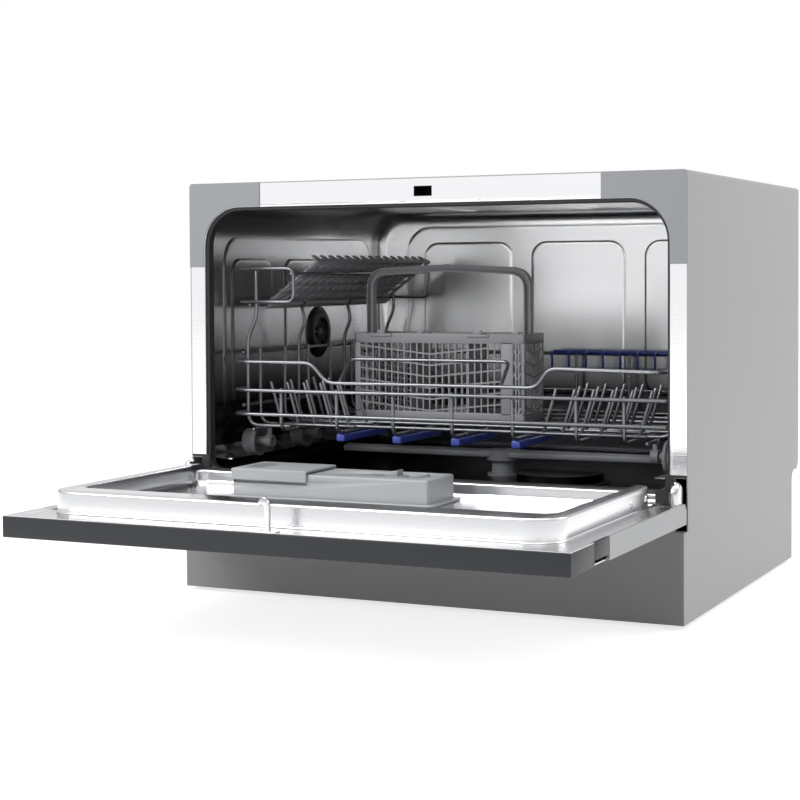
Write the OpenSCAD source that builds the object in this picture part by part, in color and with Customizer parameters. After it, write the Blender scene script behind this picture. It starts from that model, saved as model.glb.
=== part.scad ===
// Countertop dishwasher for six place settings, with a drop-down door and one pull-out rack.
// Millimetres. X runs to the right, Y to the back and Z up. It is drawn standing on its rubber feet with
// the door open and the rack pushed in, and the middle of the whole footprint is the origin.

/* [Cabinet] */
// Outside width
body_w = 550; // [500:1:620]
// Height of the top above the worktop
body_h = 438; // [425:1:480]
// Depth from the front frame to the rear panel
body_d = 480; // [440:1:560]
// Thickness of the painted steel sheet
sheet_t = 1.2; // [0.8:0.1:1.6]
// Radius of the cabinet's long top edges
edge_r = 4; // [2:0.5:8]
// Height of the plinth's top
plinth_h = 92.5; // [80:0.5:93]
// How far the plinth stands in front of the frame
plinth_out = 12.5; // [8:0.5:12.5]
// How far the rear steps in near the worktop
step_in = 34; // [30:1:40]
// Height of that step
step_h = 106; // [100:1:107]
// Radius of the step's corners
step_r = 12; // [6:1:14]
// Height of the rubber feet under the base
foot_h = 6; // [4:0.5:12]
// Radius of the rubber feet
foot_r = 13; // [8:0.5:18]
// Wall of the plastic base
base_t = 2.5; // [2:0.1:4]

/* [Tub] */
// Space between the cabinet's outside and the tub's inside, at each side
tub_side = 13; // [12.5:0.5:20]
// Space behind the tub
tub_rear = 30; // [20:1:50]
// Space above the tub
tub_above = 21.5; // [20:0.5:30]
// Height of the tub's floor
tub_floor = 112; // [108:1:116]
// Thickness of the stainless sheet
tub_t = 1; // [0.6:0.1:1.4]
// Radius of the tub's long corners
tub_r = 42; // [30:1:48]
// Radius of the tub's lower long corners, small enough for the rails and wheels above them
tub_low_r = 20; // [18:1:24]
// Width of the lip around the opening
lip_w = 4.5; // [3:0.5:6]
// Height of the opening's sill
sill_h = 126.5; // [125:0.5:128]
// Thickness of the door gasket
gasket_t = 3.6; // [3:0.1:4.2]
// Height of the rails and of the door's rim, on which the rack rolls
rail_h = 140.5; // [140:0.1:141.5]
// Width of the rails
rail_w = 25; // [22:0.5:25]
// Radius of the sump's mouth
sump_r = 48; // [40:1:56]
// Radius of the filter cup
filter_r = 24; // [16:1:28]
// Length of the spray arm
spray_l = 400; // [300:1:410]
// Width of the spray arm
spray_w = 34; // [24:1:44]

/* [Door] */
// Thickness of the door
door_t = 20; // [19:0.5:22]
// Distance from the closed door's edge to the cabinet's top
door_top_gap = 8; // [7:0.5:9]
// Height of the hinge axis
hinge_h = 107; // [106:0.5:107.5]
// Distance from the hinge axis to the frame
hinge_out = 14; // [14:0.5:15]
// Radius of the hinge pins
pin_r = 3; // [2:0.5:4]
// Clearance around pins and axles
fit = 0.05; // [0.02:0.01:0.09]
// Width of the flat flange in front of the rim
flange_w = 33; // [31:1:40]
// Width of the rim's flat top at the door's sides
rim_w = 15.5; // [12:0.5:15.5]
// Width of the rim's flat top at its front
rim_front_w = 36; // [20:1:40]
// Plan radius of the rim's front corners
rim_r = 30; // [26:1:44]
// Thickness of the door's side strips and plastic walls
side_t = 3; // [2.5:0.1:4]
// Depth of the dark control panel along the door
panel_d = 60; // [54:1:80]
// Radius of a control button
button_r = 7; // [4:0.5:9]
// Travel of a control button
button_travel = 2; // [1:0.5:2.5]
// Distance between the buttons
button_pitch = 28; // [24:1:32]
// Length of the dispenser
dispenser_l = 210; // [190:1:230]
// Width of the dispenser
dispenser_w = 64; // [56:1:80]
// Length of the detergent lid
lid_l = 83; // [60:1:90]
// Radius of the rinse-aid cap
cap_r = 10; // [7:0.5:12]

/* [Rack] */
// Diameter of the frame wires
wire_d = 4; // [3.8:0.1:4.4]
// Diameter of the tines
tine_d = 3.4; // [2.5:0.1:4]
// Space behind the rack when it is in
rack_gap = 15; // [8:1:40]
// Height of the front's top wire above the rack's floor
front_h = 71; // [60:1:90]
// Height of a tine
tine_h = 47; // [30:1:60]
// Distance between tines
tine_pitch = 20.5; // [16:0.5:24]
// Radius of the wheels
wheel_r = 13.5; // [11:0.5:14]
// Clearance between the wheels and what they roll on
wheel_gap = 0.9; // [0.5:0.1:1]
// Radius of the wheel axles
axle_r = 2.5; // [1.5:0.1:3]
// Width of the cup shelf
shelf_w = 80; // [60:1:85]
// Length of the cup shelf
shelf_l = 312; // [200:1:314]
// Slope of the cup shelf, in degrees
shelf_tilt = 37; // [20:1:40]

/* [Cutlery basket] */
// Length of the basket
basket_l = 205; // [150:1:210]
// Width of the basket
basket_w = 60; // [40:1:62]
// Height of the basket without its handle
basket_h = 97; // [70:1:105]
// Height of the handle above the basket
handle_h = 77; // [50:1:80]
// Wall of the basket
basket_t = 2; // [1.5:0.1:3]

/* [Hidden] */

// Cabinet
half_w = body_w / 2;
door_reach = body_h - door_top_gap - hinge_h + hinge_out;
screw_h = 1.5;
mid_y = (body_d + screw_h - door_reach) / 2;
base_z = foot_h - 2;
tray_z = base_z + sheet_t;
face_y = 1;
cap_front = -0.3;
corner_n = 10;

// Tub
tub_x = half_w - tub_side;
tub_back = body_d - tub_rear;
tub_top = body_h - tub_above;
frame_t = 1.2;
frame_back = face_y + frame_t;
open_x = tub_x - lip_w;
open_top = tub_top - lip_w;
lip_d = 12;
sill_r = 15;
tub_mid = (frame_back + tub_back) / 2;
sump_x = 80;
sump_y = tub_mid - 40;
post_r = 14;
spray_z = tub_floor + 16;
breather_y = 270;
breather_z = 270;
breather_r = 32;

// Door, drawn open: its inner face looks up
door_top = hinge_h + hinge_out - 1;
door_bottom = door_top - door_t;
door_rear = 4;
chamfer = 6;
liner_t = 1;
rim_x = open_x - gasket_t - 2.4;
rim_front = door_reach - flange_w;
rim_rear = 40;
rim_rear_w = 10;
rim_rear_top = rail_h - 5.5;
rim_rear_r = 14;
dish_z = door_top + 0.5;
dish_r = 14;
notch_x = half_w - 19.5;
arm_top = door_top + 21;
arm_r = 12;
notch_y = hinge_out + arm_r + 1;
boss_r = 5.5;
bracket_x = notch_x + 2;
arm_x0 = tub_x + tub_t + 0.5;
hook_y = door_reach - 6;
hook_top = door_top + 30;
hook_z = hinge_h - hinge_out + hook_y;
slot_x = 10;
slot_h = 10.4;
board_z = door_bottom + 10;
button_y = door_reach - 29;
button_x0 = 100;
dispenser_x = -145;
dispenser_y = 138;
dispenser_top = door_top + 26.7;
lid_t = 3;
lid_top = dispenser_top + 0.3 + lid_t;
release_x = 15;
release_y = 105;
rinse_x = 42;

// Rack, drawn pushed in
rack_x = tub_x - 17;
wheel_x = tub_x - 27;
side_x = rack_x - 5.5;
hoop_x = side_x - wire_d + 0.5;
rack_front = lid_top - hinge_h - hinge_out + 6;
rack_rear = tub_back - rack_gap;
weld = wire_d - 0.5;
hoop_z = rail_h + 33.5;
long_z = hoop_z - weld;
top_z = hoop_z + front_h;
dip_z = top_z - 21;
mid_wire_z = top_z - 31;
low_z = top_z - 57;
left_top_z = top_z + 9;
right_top_z = top_z - 5;
side_low_z = low_z + 8;
hoop_y0 = 50;
hoop_pitch = 58;
hoop_count = floor((rack_rear - rack_front - hoop_y0 - 10) / hoop_pitch) + 1;
long_xs = [-185, -118, -52, 15, 82, 150, 200];
runner_x = wheel_x - 13;
axle_z = rail_h + wheel_r + wheel_gap;
wheel_y0 = 42;
wheel_end = 16;
wheel_count = 4;
wheel_pitch = (rack_rear - rack_front - wheel_y0 - wheel_end) / (wheel_count - 1);
tine_rows = [46, 92, 148];
support_l = 110;
pivot_x = -rack_x + 13;
pivot_z = hoop_z + 132.5;
loop_x = -rack_x + 68;
loop_top = pivot_z + 40;
shelf_t = 3;
shelf_y0 = 58;
upright_ys = [22, 142, 262];
last_upright = rack_rear - rack_front - 18;
rest_x = loop_x - weld;
rest_z = pivot_z + (rest_x - pivot_x) * tan(shelf_tilt)
    - (shelf_t / 2 + wire_d / 2 + 0.3) / cos(shelf_tilt);
basket_x = -155;
basket_y = 125;
basket_z = hoop_z + wire_d / 2 + 0.3;

// ---- Shared shapes

module placed() translate([0, -mid_y, 0]) children();

function around(middle, half) = [middle - half, middle + half];

function past(start, span) = [start + span[0], start + span[1]];

module both() {
    children();
    mirror([1, 0, 0]) children();
}

module block(x, y, z) translate([x[0], y[0], z[0]]) cube([x[1] - x[0], y[1] - y[0], z[1] - z[0]]);

module rod_x(r, x, y, z) translate([x[0], y, z]) rotate([0, 90, 0]) cylinder(r = r, h = x[1] - x[0], $fn = 48);

module rod_y(r, x, y, z) translate([x, y[0], z]) rotate([-90, 0, 0]) cylinder(r = r, h = y[1] - y[0], $fn = 48);

module rod_z(r, x, y, z) translate([x, y, z[0]]) cylinder(r = r, h = z[1] - z[0], $fn = 48);

// A flat shape drawn in X and Z, carried along Y
module along_y(y) translate([0, y[1], 0]) rotate([90, 0, 0]) linear_extrude(y[1] - y[0]) children();

// A flat shape drawn in Y and Z, carried along X
module along_x(x) translate([x[0], 0, 0]) rotate([90, 0, 90]) linear_extrude(x[1] - x[0]) children();

module along_z(z) translate([0, 0, z[0]]) linear_extrude(z[1] - z[0]) children();

function arc(cx, cy, r, a0, a1) =
    [for (i = [0 : corner_n]) let (a = a0 + (a1 - a0) * i / corner_n) [cx + r * cos(a), cy + r * sin(a)]];

// Its lower two corners may have a radius of their own, low
function round_rect(x, y, r, low = 0) = let (q = low > 0 ? low : r) concat(
    arc(x[1] - r, y[1] - r, r, 0, 90), arc(x[0] + r, y[1] - r, r, 90, 180),
    arc(x[0] + q, y[0] + q, q, 180, 270), arc(x[1] - q, y[0] + q, q, 270, 360));

// The tub's section and the frame's opening, each grown by g; wheels pass the opening's small lower corners
module tub_section(g) polygon(round_rect(
    [-tub_x - g, tub_x + g], [tub_floor - g, tub_top + g], tub_r + g, tub_low_r + g));

module opening(g)
    polygon(round_rect([-open_x - g, open_x + g], [sill_h - g, open_top + g], tub_r + g, sill_r + g));

module rim_plan(g)
    polygon(round_rect([-rim_x - g, rim_x + g], [-rim_front - g, -rim_rear + g], rim_rear_r + g, rim_r + g));

module dish_plan(g) polygon(round_rect(
    [rim_w - rim_x - g, rim_x - rim_w + g], [rim_front_w - rim_front - g, -rim_rear - rim_rear_w + g], dish_r + g));

// One straight wire, eight-sided, run a little past both ends so that bends close
module straight_wire(a, b, d) {
    v = b - a;
    over = 0.35 * d;
    translate(a) rotate([0, acos(v[2] / norm(v)), atan2(v[1], v[0])])
        translate([0, 0, -over]) cylinder(d = d, h = norm(v) + 2 * over, $fn = 8);
}

module wire(path, d = wire_d)
    for (i = [0 : len(path) - 2]) straight_wire(path[i], path[i + 1], d);

// ---- Cabinet

// The rear's line from the worktop up, moved inward by t, with its rounded step
function rear_line(t) = concat(
    [[body_d - step_in - t, base_z]],
    arc(body_d - step_in + step_r, step_h - step_r, step_r + t, 180, 90),
    arc(body_d - step_r, step_h + step_r, step_r - t, 270, 360),
    [[body_d - t, body_h - sheet_t]]);

function reversed(list) = [for (i = [len(list) - 1 : -1 : 0]) list[i]];

module outer_wrap() color([0.68, 0.68, 0.68]) placed() intersection() {
    along_y([-plinth_out, body_d]) difference() {
        polygon(concat([[half_w, base_z]], arc(half_w - edge_r, body_h - edge_r, edge_r, 0, 90),
            arc(edge_r - half_w, body_h - edge_r, edge_r, 90, 180), [[-half_w, base_z]]));
        polygon([
            [half_w - sheet_t, base_z - 1], [half_w - sheet_t, body_h - edge_r],
            [half_w - edge_r, body_h - sheet_t], [edge_r - half_w, body_h - sheet_t],
            [sheet_t - half_w, body_h - edge_r], [sheet_t - half_w, base_z - 1]]);
    }
    along_x([-half_w, half_w]) polygon(concat(
        [[face_y, body_h], [face_y, plinth_h], [-plinth_out, plinth_h], [-plinth_out, base_z]],
        rear_line(0), [[body_d, body_h]]));
}

screw_places = [
    for (x = [-half_w + 20, 0, half_w - 20]) [x, body_d, body_h - 20],
    for (x = [-half_w + 20, half_w - 20]) [x, body_d, step_h + 40],
    for (x = [-half_w + 20, half_w - 20]) [x, body_d - step_in, base_z + 20]];
screw_r = 1.8;

valve_x = 190;
drain_x = 110;
gland_x = -200;
port_z = 74;
port_r = 10;

module rear_panel() color([0.6, 0.6, 0.61]) placed() difference() {
    along_x([sheet_t - half_w, half_w - sheet_t])
        polygon(concat(rear_line(0), reversed(rear_line(sheet_t))));
    for (p = screw_places) rod_y(screw_r + fit, p[0], [p[1] - 10, p[1] + 1], p[2]);
    for (x = [valve_x, drain_x, gland_x])
        rod_y(port_r + fit, x, [body_d - step_in - 10, body_d - step_in + 1], port_z);
}

module panel_screws() color([0.75, 0.75, 0.76]) placed() for (p = screw_places) {
    rod_y(screw_r, p[0], [p[1] - 7, p[1] + screw_h / 2], p[2]);
    rod_y(2 * screw_r, p[0], [p[1], p[1] + screw_h], p[2]);
}

module front_plinth() color([0.42, 0.42, 0.42]) placed() along_x([sheet_t - half_w, half_w - sheet_t])
    polygon([
        [frame_back, plinth_h], [-plinth_out, plinth_h], [-plinth_out, base_z], [10, base_z],
        [10, tray_z], [sheet_t - plinth_out, tray_z], [sheet_t - plinth_out, plinth_h - sheet_t],
        [frame_back, plinth_h - sheet_t]]);

foot_places = [for (x = [-half_w + 35, half_w - 35], y = [35, body_d - step_in - 30]) [x, y]];
stem_r = 4;
board_x = [-half_w + 30, -half_w + 150];
board_y = [tub_mid - 180, tub_mid - 90];
peg_h = 14;

module base_tray() color([0.2, 0.2, 0.21]) placed() {
    wall_x = half_w - sheet_t;
    front = sheet_t - plinth_out;
    back = body_d - step_in - sheet_t;
    floor_z = tray_z + base_t;
    difference() {
        block([-wall_x, wall_x], [front, back], [tray_z, tray_z + 40]);
        block([base_t - wall_x, wall_x - base_t], [front + base_t, back - base_t], [floor_z, tray_z + 41]);
        for (p = foot_places) rod_z(stem_r + fit, p[0], p[1], [tray_z - 1, floor_z + 1]);
        for (x = [-half_w + 20, half_w - 20]) rod_y(screw_r + fit, x, [back - 9, back + 1], base_z + 20);
    }
    for (x = [board_x[0] + 8, board_x[1] - 8], y = [board_y[0] + 8, board_y[1] - 8])
        rod_z(4, x, y, [floor_z - 0.5, floor_z + peg_h]);
}

module rubber_feet() color([0.1, 0.1, 0.1]) placed() for (p = foot_places) {
    rod_z(foot_r, p[0], p[1], [0, tray_z]);
    rod_z(stem_r, p[0], p[1], [tray_z - 1, tray_z + base_t]);
}

// ---- Tub

module tub() color([0.8, 0.8, 0.81]) placed() difference() {
    along_y([frame_back, tub_back + tub_t]) tub_section(tub_t);
    along_y([frame_back - 1, tub_back]) tub_section(0);
    rod_z(sump_r, sump_x, sump_y, [tub_floor - 5, tub_floor + 5]);
    rod_z(post_r + fit, 0, tub_mid, [tub_floor - 5, tub_floor + 5]);
    rod_x(breather_r / 2, [-tub_x - 5, -tub_x + 5], breather_y, breather_z);
}

module tub_frame() color([0.86, 0.86, 0.87]) placed() {
    difference() {
        along_y([face_y, frame_back]) difference() {
            translate([sheet_t - half_w, plinth_h]) square([body_w - 2 * sheet_t, body_h - sheet_t - plinth_h]);
            opening(0);
            translate([-slot_x, hook_z - slot_h / 2]) square([2 * slot_x, slot_h]);
        }
        both() block([arm_x0 - 1, half_w], [0, frame_back + 1], [plinth_h - 1, arm_top + 2]);
    }
    along_y([frame_back - 0.2, lip_d]) difference() {
        opening(tub_t);
        opening(0);
    }
}

cap_x = 86;
cap_z = 90;

module corner_cap() along_y([cap_front, face_y]) difference() {
    translate([half_w - cap_x, body_h - cap_z]) polygon(concat(
        [[0, cap_z], [0, 0], [cap_x, 0]], arc(cap_x - edge_r, cap_z - edge_r, edge_r, 0, 90)));
    opening(0);
}

module corner_cap_left() color([0.55, 0.56, 0.58]) placed() mirror([1, 0, 0]) corner_cap();

module corner_cap_right() color([0.55, 0.56, 0.58]) placed() corner_cap();

module door_gasket() color([0.05, 0.05, 0.05]) placed() along_y([frame_back + 2, lip_d + 4]) difference() {
    opening(0);
    opening(-gasket_t);
}

rail_x = tub_x - 0.3;

module rack_rails() color([0.7, 0.7, 0.71]) placed() both() along_y([lip_d + 9, tub_back - 4])
    polygon([
        [rail_x - rail_w, rail_h], [rail_x - rail_w, rail_h - 1.2], [rail_x, rail_h - 1.2],
        [rail_x, rail_h + 12], [rail_x - 1.2, rail_h + 12], [rail_x - 1.2, rail_h]]);

sump_floor = 62;

module sump() color([0.35, 0.36, 0.38]) placed() translate([sump_x, sump_y, 0]) rotate_extrude($fn = 64)
    polygon([
        [0, sump_floor], [sump_r * 0.7, sump_floor], [sump_r - 0.2, sump_floor + 12],
        [sump_r - 0.2, tub_floor], [sump_r + 8, tub_floor], [sump_r + 8, tub_floor + 1.2],
        [sump_r - 3, tub_floor + 1.2], [sump_r - 3, sump_floor + 13], [sump_r * 0.7 - 2, sump_floor + 2.5],
        [0, sump_floor + 2.5]]);

filter_z = tub_floor - 2;

module filter_plate() color([0.6, 0.6, 0.62]) placed() translate([sump_x, sump_y, 0]) difference() {
    union() {
        rod_z(sump_r - 3.2, 0, 0, [filter_z, filter_z + 1.2]);
        rod_z(sump_r - 3.2, 0, 0, [filter_z - 6, filter_z + 0.1]);
    }
    rod_z(sump_r - 5, 0, 0, [filter_z - 7, filter_z]);
    rod_z(filter_r + 0.3, 0, 0, [filter_z - 1, filter_z + 2]);
    for (i = [0 : 11]) rotate([0, 0, 30 * i])
        rod_z(3, (filter_r + sump_r - 3) / 2, 0, [filter_z - 1, filter_z + 2]);
}

module filter_cup() color([0.5, 0.52, 0.55]) placed() translate([sump_x, sump_y, 0]) {
    difference() {
        union() {
            rod_z(filter_r, 0, 0, [sump_floor + 8, filter_z + 3]);
            rod_z(filter_r + 3, 0, 0, [filter_z + 1.5, filter_z + 3]);
        }
        rod_z(filter_r - 2, 0, 0, [sump_floor + 10, filter_z + 4]);
    }
    block([2 - filter_r, filter_r - 2], [-1.5, 1.5], [filter_z - 6, filter_z + 3]);
}

pump_top = tub_floor - 22;

module wash_pump() color([0.3, 0.31, 0.33]) placed() {
    rod_z(40, 0, tub_mid, [40, pump_top]);
    rod_z(post_r - 2, 0, tub_mid, [pump_top - 1, pump_top + 4]);
    rod_y(33, 0, [tub_mid + 30, tub_mid + 150], 62);
    for (y = [tub_mid + 50, tub_mid + 120])
        block([-24, 24], [y, y + 14], [tray_z + base_t, 42]);
    rod_z(12, sump_x * 0.5, sump_y * 0.5 + tub_mid * 0.5, [45, sump_floor]);
    block([30, sump_x - 10], [tub_mid - 30, tub_mid - 14], [46, sump_floor - 0.3]);
}

module spray_post() color([0.55, 0.56, 0.58]) placed() {
    difference() {
        union() {
            rod_z(post_r, 0, tub_mid, [pump_top, spray_z - 0.3]);
            rod_z(post_r + 5, 0, tub_mid, [tub_floor, tub_floor + 2]);
        }
        rod_z(post_r - 2 + fit, 0, tub_mid, [pump_top - 1, pump_top + 4]);
    }
    rod_z(6, 0, tub_mid, [spray_z - 1, spray_z + 13]);
}

module spray_arm() color([0.6, 0.61, 0.63]) placed() translate([0, tub_mid, 0]) {
    arm_z = spray_z + 1;
    tip = spray_w * 0.6;
    difference() {
        union() {
            along_z([arm_z, arm_z + 9]) polygon([
                [-spray_l / 2, -tip / 2], [-spray_w, -spray_w / 2], [spray_w, -spray_w / 2],
                [spray_l / 2, -tip / 2], [spray_l / 2, tip / 2], [spray_w, spray_w / 2],
                [-spray_w, spray_w / 2], [-spray_l / 2, tip / 2]]);
            rod_z(spray_w / 2 + 3, 0, 0, [spray_z, spray_z + 13]);
        }
        rod_z(6 + fit, 0, 0, [spray_z - 1, spray_z + 14]);
        for (s = [-1, 1], x = [55 : 30 : spray_l / 2 - 15]) rod_z(2, s * x, 0, [arm_z - 1, arm_z + 10]);
    }
}

module drain_pump() color([0.85, 0.85, 0.82]) placed() {
    x = 120;
    y = sump_y - 70;
    rod_z(24, x, y, [tray_z + base_t, 48]);
    rod_y(17, x, [y - 70, y - 20], 32);
    rod_z(5, x, y, [47, 60]);
}

module water_heater() color([0.72, 0.68, 0.6]) placed() {
    y = tub_mid + 60;
    end = 72 - tub_x;
    rod_x(17, [end, end + 130], y, 60);
    for (x = [end + 10, end + 100]) block([x, x + 10], [y - 12, y + 12], [tray_z + base_t, 50]);
    rod_x(6, [end + 129, -33], y, 60);
}

module inlet_valve() color([0.9, 0.9, 0.88]) placed() {
    back = body_d - step_in;
    rod_y(port_r, valve_x, [back - 30, back + 16], port_z);
    block([valve_x - 16, valve_x + 16], [back - 46, back - 16], [port_z - 20, port_z + 18]);
    block([valve_x - 10, valve_x + 10], [back - 40, back - 20], [tray_z + base_t, port_z - 19]);
}

module drain_port() color([0.12, 0.12, 0.13]) placed() {
    back = body_d - step_in;
    difference() {
        rod_y(port_r, drain_x, [back - 30, back + 20], port_z);
        rod_y(port_r - 2.5, drain_x, [back - 31, back + 21], port_z);
    }
    difference() {
        rod_y(port_r + 4, drain_x, [back - sheet_t - 3, back - sheet_t], port_z);
        rod_y(port_r - 1, drain_x, [back - sheet_t - 4, back], port_z);
    }
}

module cord_gland() color([0.08, 0.08, 0.08]) placed() {
    back = body_d - step_in;
    difference() {
        union() {
            rod_y(port_r, gland_x, [back - 12, back + 12], port_z);
            rod_y(port_r + 3, gland_x, [back, back + 4], port_z);
        }
        rod_y(4.5, gland_x, [back - 13, back + 13], port_z);
    }
}

module power_board() color([0.1, 0.4, 0.2]) placed() {
    z = tray_z + base_t + peg_h;
    block(board_x, board_y, [z, z + 1.6]);
    block([board_x[0] + 12, board_x[0] + 42], [board_y[0] + 14, board_y[0] + 44], [z + 1, z + 26]);
    block([board_x[0] + 60, board_x[0] + 76], [board_y[0] + 20, board_y[0] + 60], [z + 1, z + 18]);
}

module breather() color([0.07, 0.07, 0.07]) placed() {
    rod_x(breather_r / 2 - fit, [-tub_x - 6, -tub_x + 1], breather_y, breather_z);
    difference() {
        rod_x(breather_r, [-tub_x, -tub_x + 9], breather_y, breather_z);
        rod_x(breather_r - 5, [-tub_x + 3, -tub_x + 10], breather_y, breather_z);
    }
    for (a = [0 : 60 : 120]) translate([-tub_x, breather_y, breather_z]) rotate([a, 0, 0])
        block([2, 7], [-2, 2], [-breather_r + 3, breather_r - 3]);
    rod_x(5, [-tub_x + 2, -tub_x + 8], breather_y, breather_z);
}

module latch_catch() color([0.15, 0.15, 0.16]) placed() difference() {
    block([-24, 24], [frame_back, 44], [tub_top + tub_t, body_h - sheet_t]);
    block([-slot_x - 2, slot_x + 2], [frame_back - 1, 38], [tub_top + tub_t + 1, hook_z + slot_h / 2]);
}

module hinge_brackets() color([0.5, 0.5, 0.52]) placed() both() {
    difference() {
        along_x([bracket_x, bracket_x + 4]) union() {
            translate([-hinge_out, hinge_h - 5]) square([hinge_out + face_y, 10]);
            translate([-hinge_out, hinge_h]) circle(r = boss_r, $fn = 48);
        }
        rod_x(pin_r + fit, [bracket_x - 1, bracket_x + 5], -hinge_out, hinge_h);
    }
    block([notch_x + 0.3, bracket_x + 4], [-0.4, face_y], [hinge_h - 9, hinge_h + 18]);
}

module hinge_pins() color([0.7, 0.7, 0.7]) placed() both()
    rod_x(pin_r, [bracket_x - 1, half_w - side_t - 0.3], -hinge_out, hinge_h);

// ---- Door

module door_liner() color([0.82, 0.82, 0.83]) placed() {
    edge_x = half_w - side_t;
    ends = door_reach - side_t;
    difference() {
        along_z([door_top - liner_t, door_top]) polygon([
            [-edge_x, -ends], [edge_x, -ends], [edge_x, -notch_y], [notch_x, -notch_y],
            [notch_x, -door_rear - chamfer], [-notch_x, -door_rear - chamfer], [-notch_x, -notch_y],
            [-edge_x, -notch_y]]);
        along_z([door_top - 5, door_top + 1]) rim_plan(-liner_t);
    }
    along_x([-notch_x, notch_x]) polygon([
        [-door_rear - chamfer, door_top], [-door_rear, door_top - chamfer], [-door_rear, door_bottom + sheet_t],
        [-door_rear - 1, door_bottom + sheet_t], [-door_rear - 1, door_top - chamfer - 0.4],
        [-door_rear - chamfer - 0.4, door_top - 1]]);
    // The rim is lower at its rear between the sides, where the wheels' flanges pass over it
    gap_x = rim_x - rim_w;
    gap_y = [-rim_rear - rim_rear_w - dish_r, -rim_rear];
    difference() {
        union() {
            along_z([door_top - liner_t, rail_h]) difference() { rim_plan(0); rim_plan(-liner_t); }
            along_z([rail_h - liner_t, rail_h]) difference() { rim_plan(-liner_t / 2); dish_plan(0); }
            along_z([dish_z - liner_t, rail_h]) difference() { dish_plan(liner_t); dish_plan(0); }
        }
        block([-gap_x, gap_x], gap_y + [0, 1], [rim_rear_top, rail_h + 1]);
    }
    difference() {
        block([-gap_x, gap_x], gap_y, [rim_rear_top - liner_t, rim_rear_top]);
        along_z([rim_rear_top - 2, rim_rear_top + 1]) dish_plan(0);
    }
    both() block([gap_x, gap_x + liner_t], gap_y, [rim_rear_top - liner_t, rail_h]);
    along_z([dish_z - liner_t, dish_z]) dish_plan(liner_t);
}

module door_outer_panel() color([0.25, 0.27, 0.29]) placed()
    block([side_t - half_w, half_w - side_t], [panel_d - door_reach, -door_rear - 1],
        [door_bottom, door_bottom + sheet_t]);

// Where the side strips meet the control panel's side tabs
strip_y = panel_d + 39 - door_reach;

module door_side_strips() color([0.78, 0.78, 0.79]) placed() both()
    along_x([half_w - side_t, half_w]) polygon([
        [strip_y, door_bottom], [-door_rear, door_bottom], [-door_rear, door_top - chamfer],
        [-door_rear - chamfer, door_top], [strip_y, door_top]]);

grip_w = 120;
grip_y = [7, 25];
wall_t = 2.5;
window_x = 224;
window_w = 26;
window_d = 16;
pegs = [for (x = [84, 252], y = [-13, 17]) [x, -button_y + y]];

module control_panel() color([0.23, 0.25, 0.27]) placed() {
    front = -door_reach;
    back = panel_d - door_reach;
    wall_z = door_bottom + wall_t;
    difference() {
        block([-half_w, half_w], [front, back], [door_bottom, door_top]);
        block([side_t - half_w, half_w - side_t], [front + side_t, back + 1], [wall_z, door_top + 1]);
        block(around(0, grip_w / 2), past(front, grip_y), [door_bottom - 1, wall_z + 1]);
        for (i = [0 : 3])
            rod_z(button_r + 0.3, button_x0 + i * button_pitch, -button_y, [door_bottom - 1, wall_z + 1]);
        block([window_x, window_x + window_w], [-button_y - window_d / 2, -button_y + window_d / 2],
            [door_bottom - 1, wall_z + 1]);
    }
    difference() {
        block(around(0, grip_w / 2 + 1.5), past(front, grip_y + [-1.5, 1.5]), [wall_z - 1, door_top - 6]);
        block(around(0, grip_w / 2), past(front, grip_y), [wall_z - 2, door_top - 7.5]);
    }
    for (p = pegs) rod_z(3, p[0], p[1], [wall_z - 0.5, board_z]);
    both() block([half_w - side_t, half_w], [back - 1, strip_y], [door_bottom, door_top]);
}

module display_window() color([0.05, 0.05, 0.06]) placed() {
    wall_z = door_bottom + wall_t;
    block([window_x, window_x + window_w], [-button_y - window_d / 2, -button_y + window_d / 2],
        [door_bottom, wall_z + 1]);
    block([window_x - 2, window_x + window_w + 2], [-button_y - window_d / 2 - 2, -button_y + window_d / 2 + 2],
        [wall_z, wall_z + 1.2]);
}

module control_board() color([0.1, 0.4, 0.2]) placed()
    block([pegs[0][0] - 4, pegs[3][0] + 4], [pegs[0][1] - 4, pegs[3][1] + 4], [board_z, board_z + 1.6]);

module button(i) color([0.6, 0.61, 0.62]) placed() {
    x = button_x0 + i * button_pitch;
    wall_z = door_bottom + wall_t;
    rod_z(button_r, x, -button_y, [door_bottom - 1.2, wall_z + 1]);
    rod_z(button_r + 1.6, x, -button_y, [wall_z + 0.3, wall_z + 1.8]);
    rod_z(2.5, x, -button_y, [wall_z + 1, board_z - button_travel - 0.3]);
}

module latch_hook() color([0.75, 0.75, 0.76]) placed() {
    along_y([-hook_y - 2, -hook_y + 2]) polygon([
        [-2.5, door_top + 1], [2.5, door_top + 1], [2.5, hook_top - 4], [0, hook_top], [-5, hook_top],
        [-8, hook_top - 3], [-8, hook_top - 8], [-5, hook_top - 5.5], [-2.5, hook_top - 5.5]]);
    block([-9, 9], [-hook_y - 2.9, -hook_y + 6], [door_top, door_top + 0.6]);
    block([-2.5, 2.5], [-hook_y - 2, -hook_y + 2], [door_top + 0.5, door_top + 2]);
}

module hinge_arms() color([0.85, 0.85, 0.86]) placed() both() difference() {
    along_x([arm_x0, half_w - side_t]) union() {
        translate([-70, door_bottom + 1.4]) square([70 - hinge_out, 10]);
        translate([-hinge_out, hinge_h]) circle(r = boss_r, $fn = 48);
        translate([-hinge_out - arm_r, hinge_h + boss_r - 1])
            square([2 * arm_r, arm_top - arm_r - hinge_h - boss_r + 1]);
        translate([-hinge_out, arm_top - arm_r]) circle(r = arm_r, $fn = 48);
    }
    rod_x(pin_r + fit, [arm_x0 - 1, half_w], -hinge_out, hinge_h);
}

module rim_screws() color([0.7, 0.7, 0.71]) placed() both() for (y = [-104, -58])
    rod_x(3.5, [rim_x, rim_x + 0.4], y, (door_top + rail_h) / 2 - 1);

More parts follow.
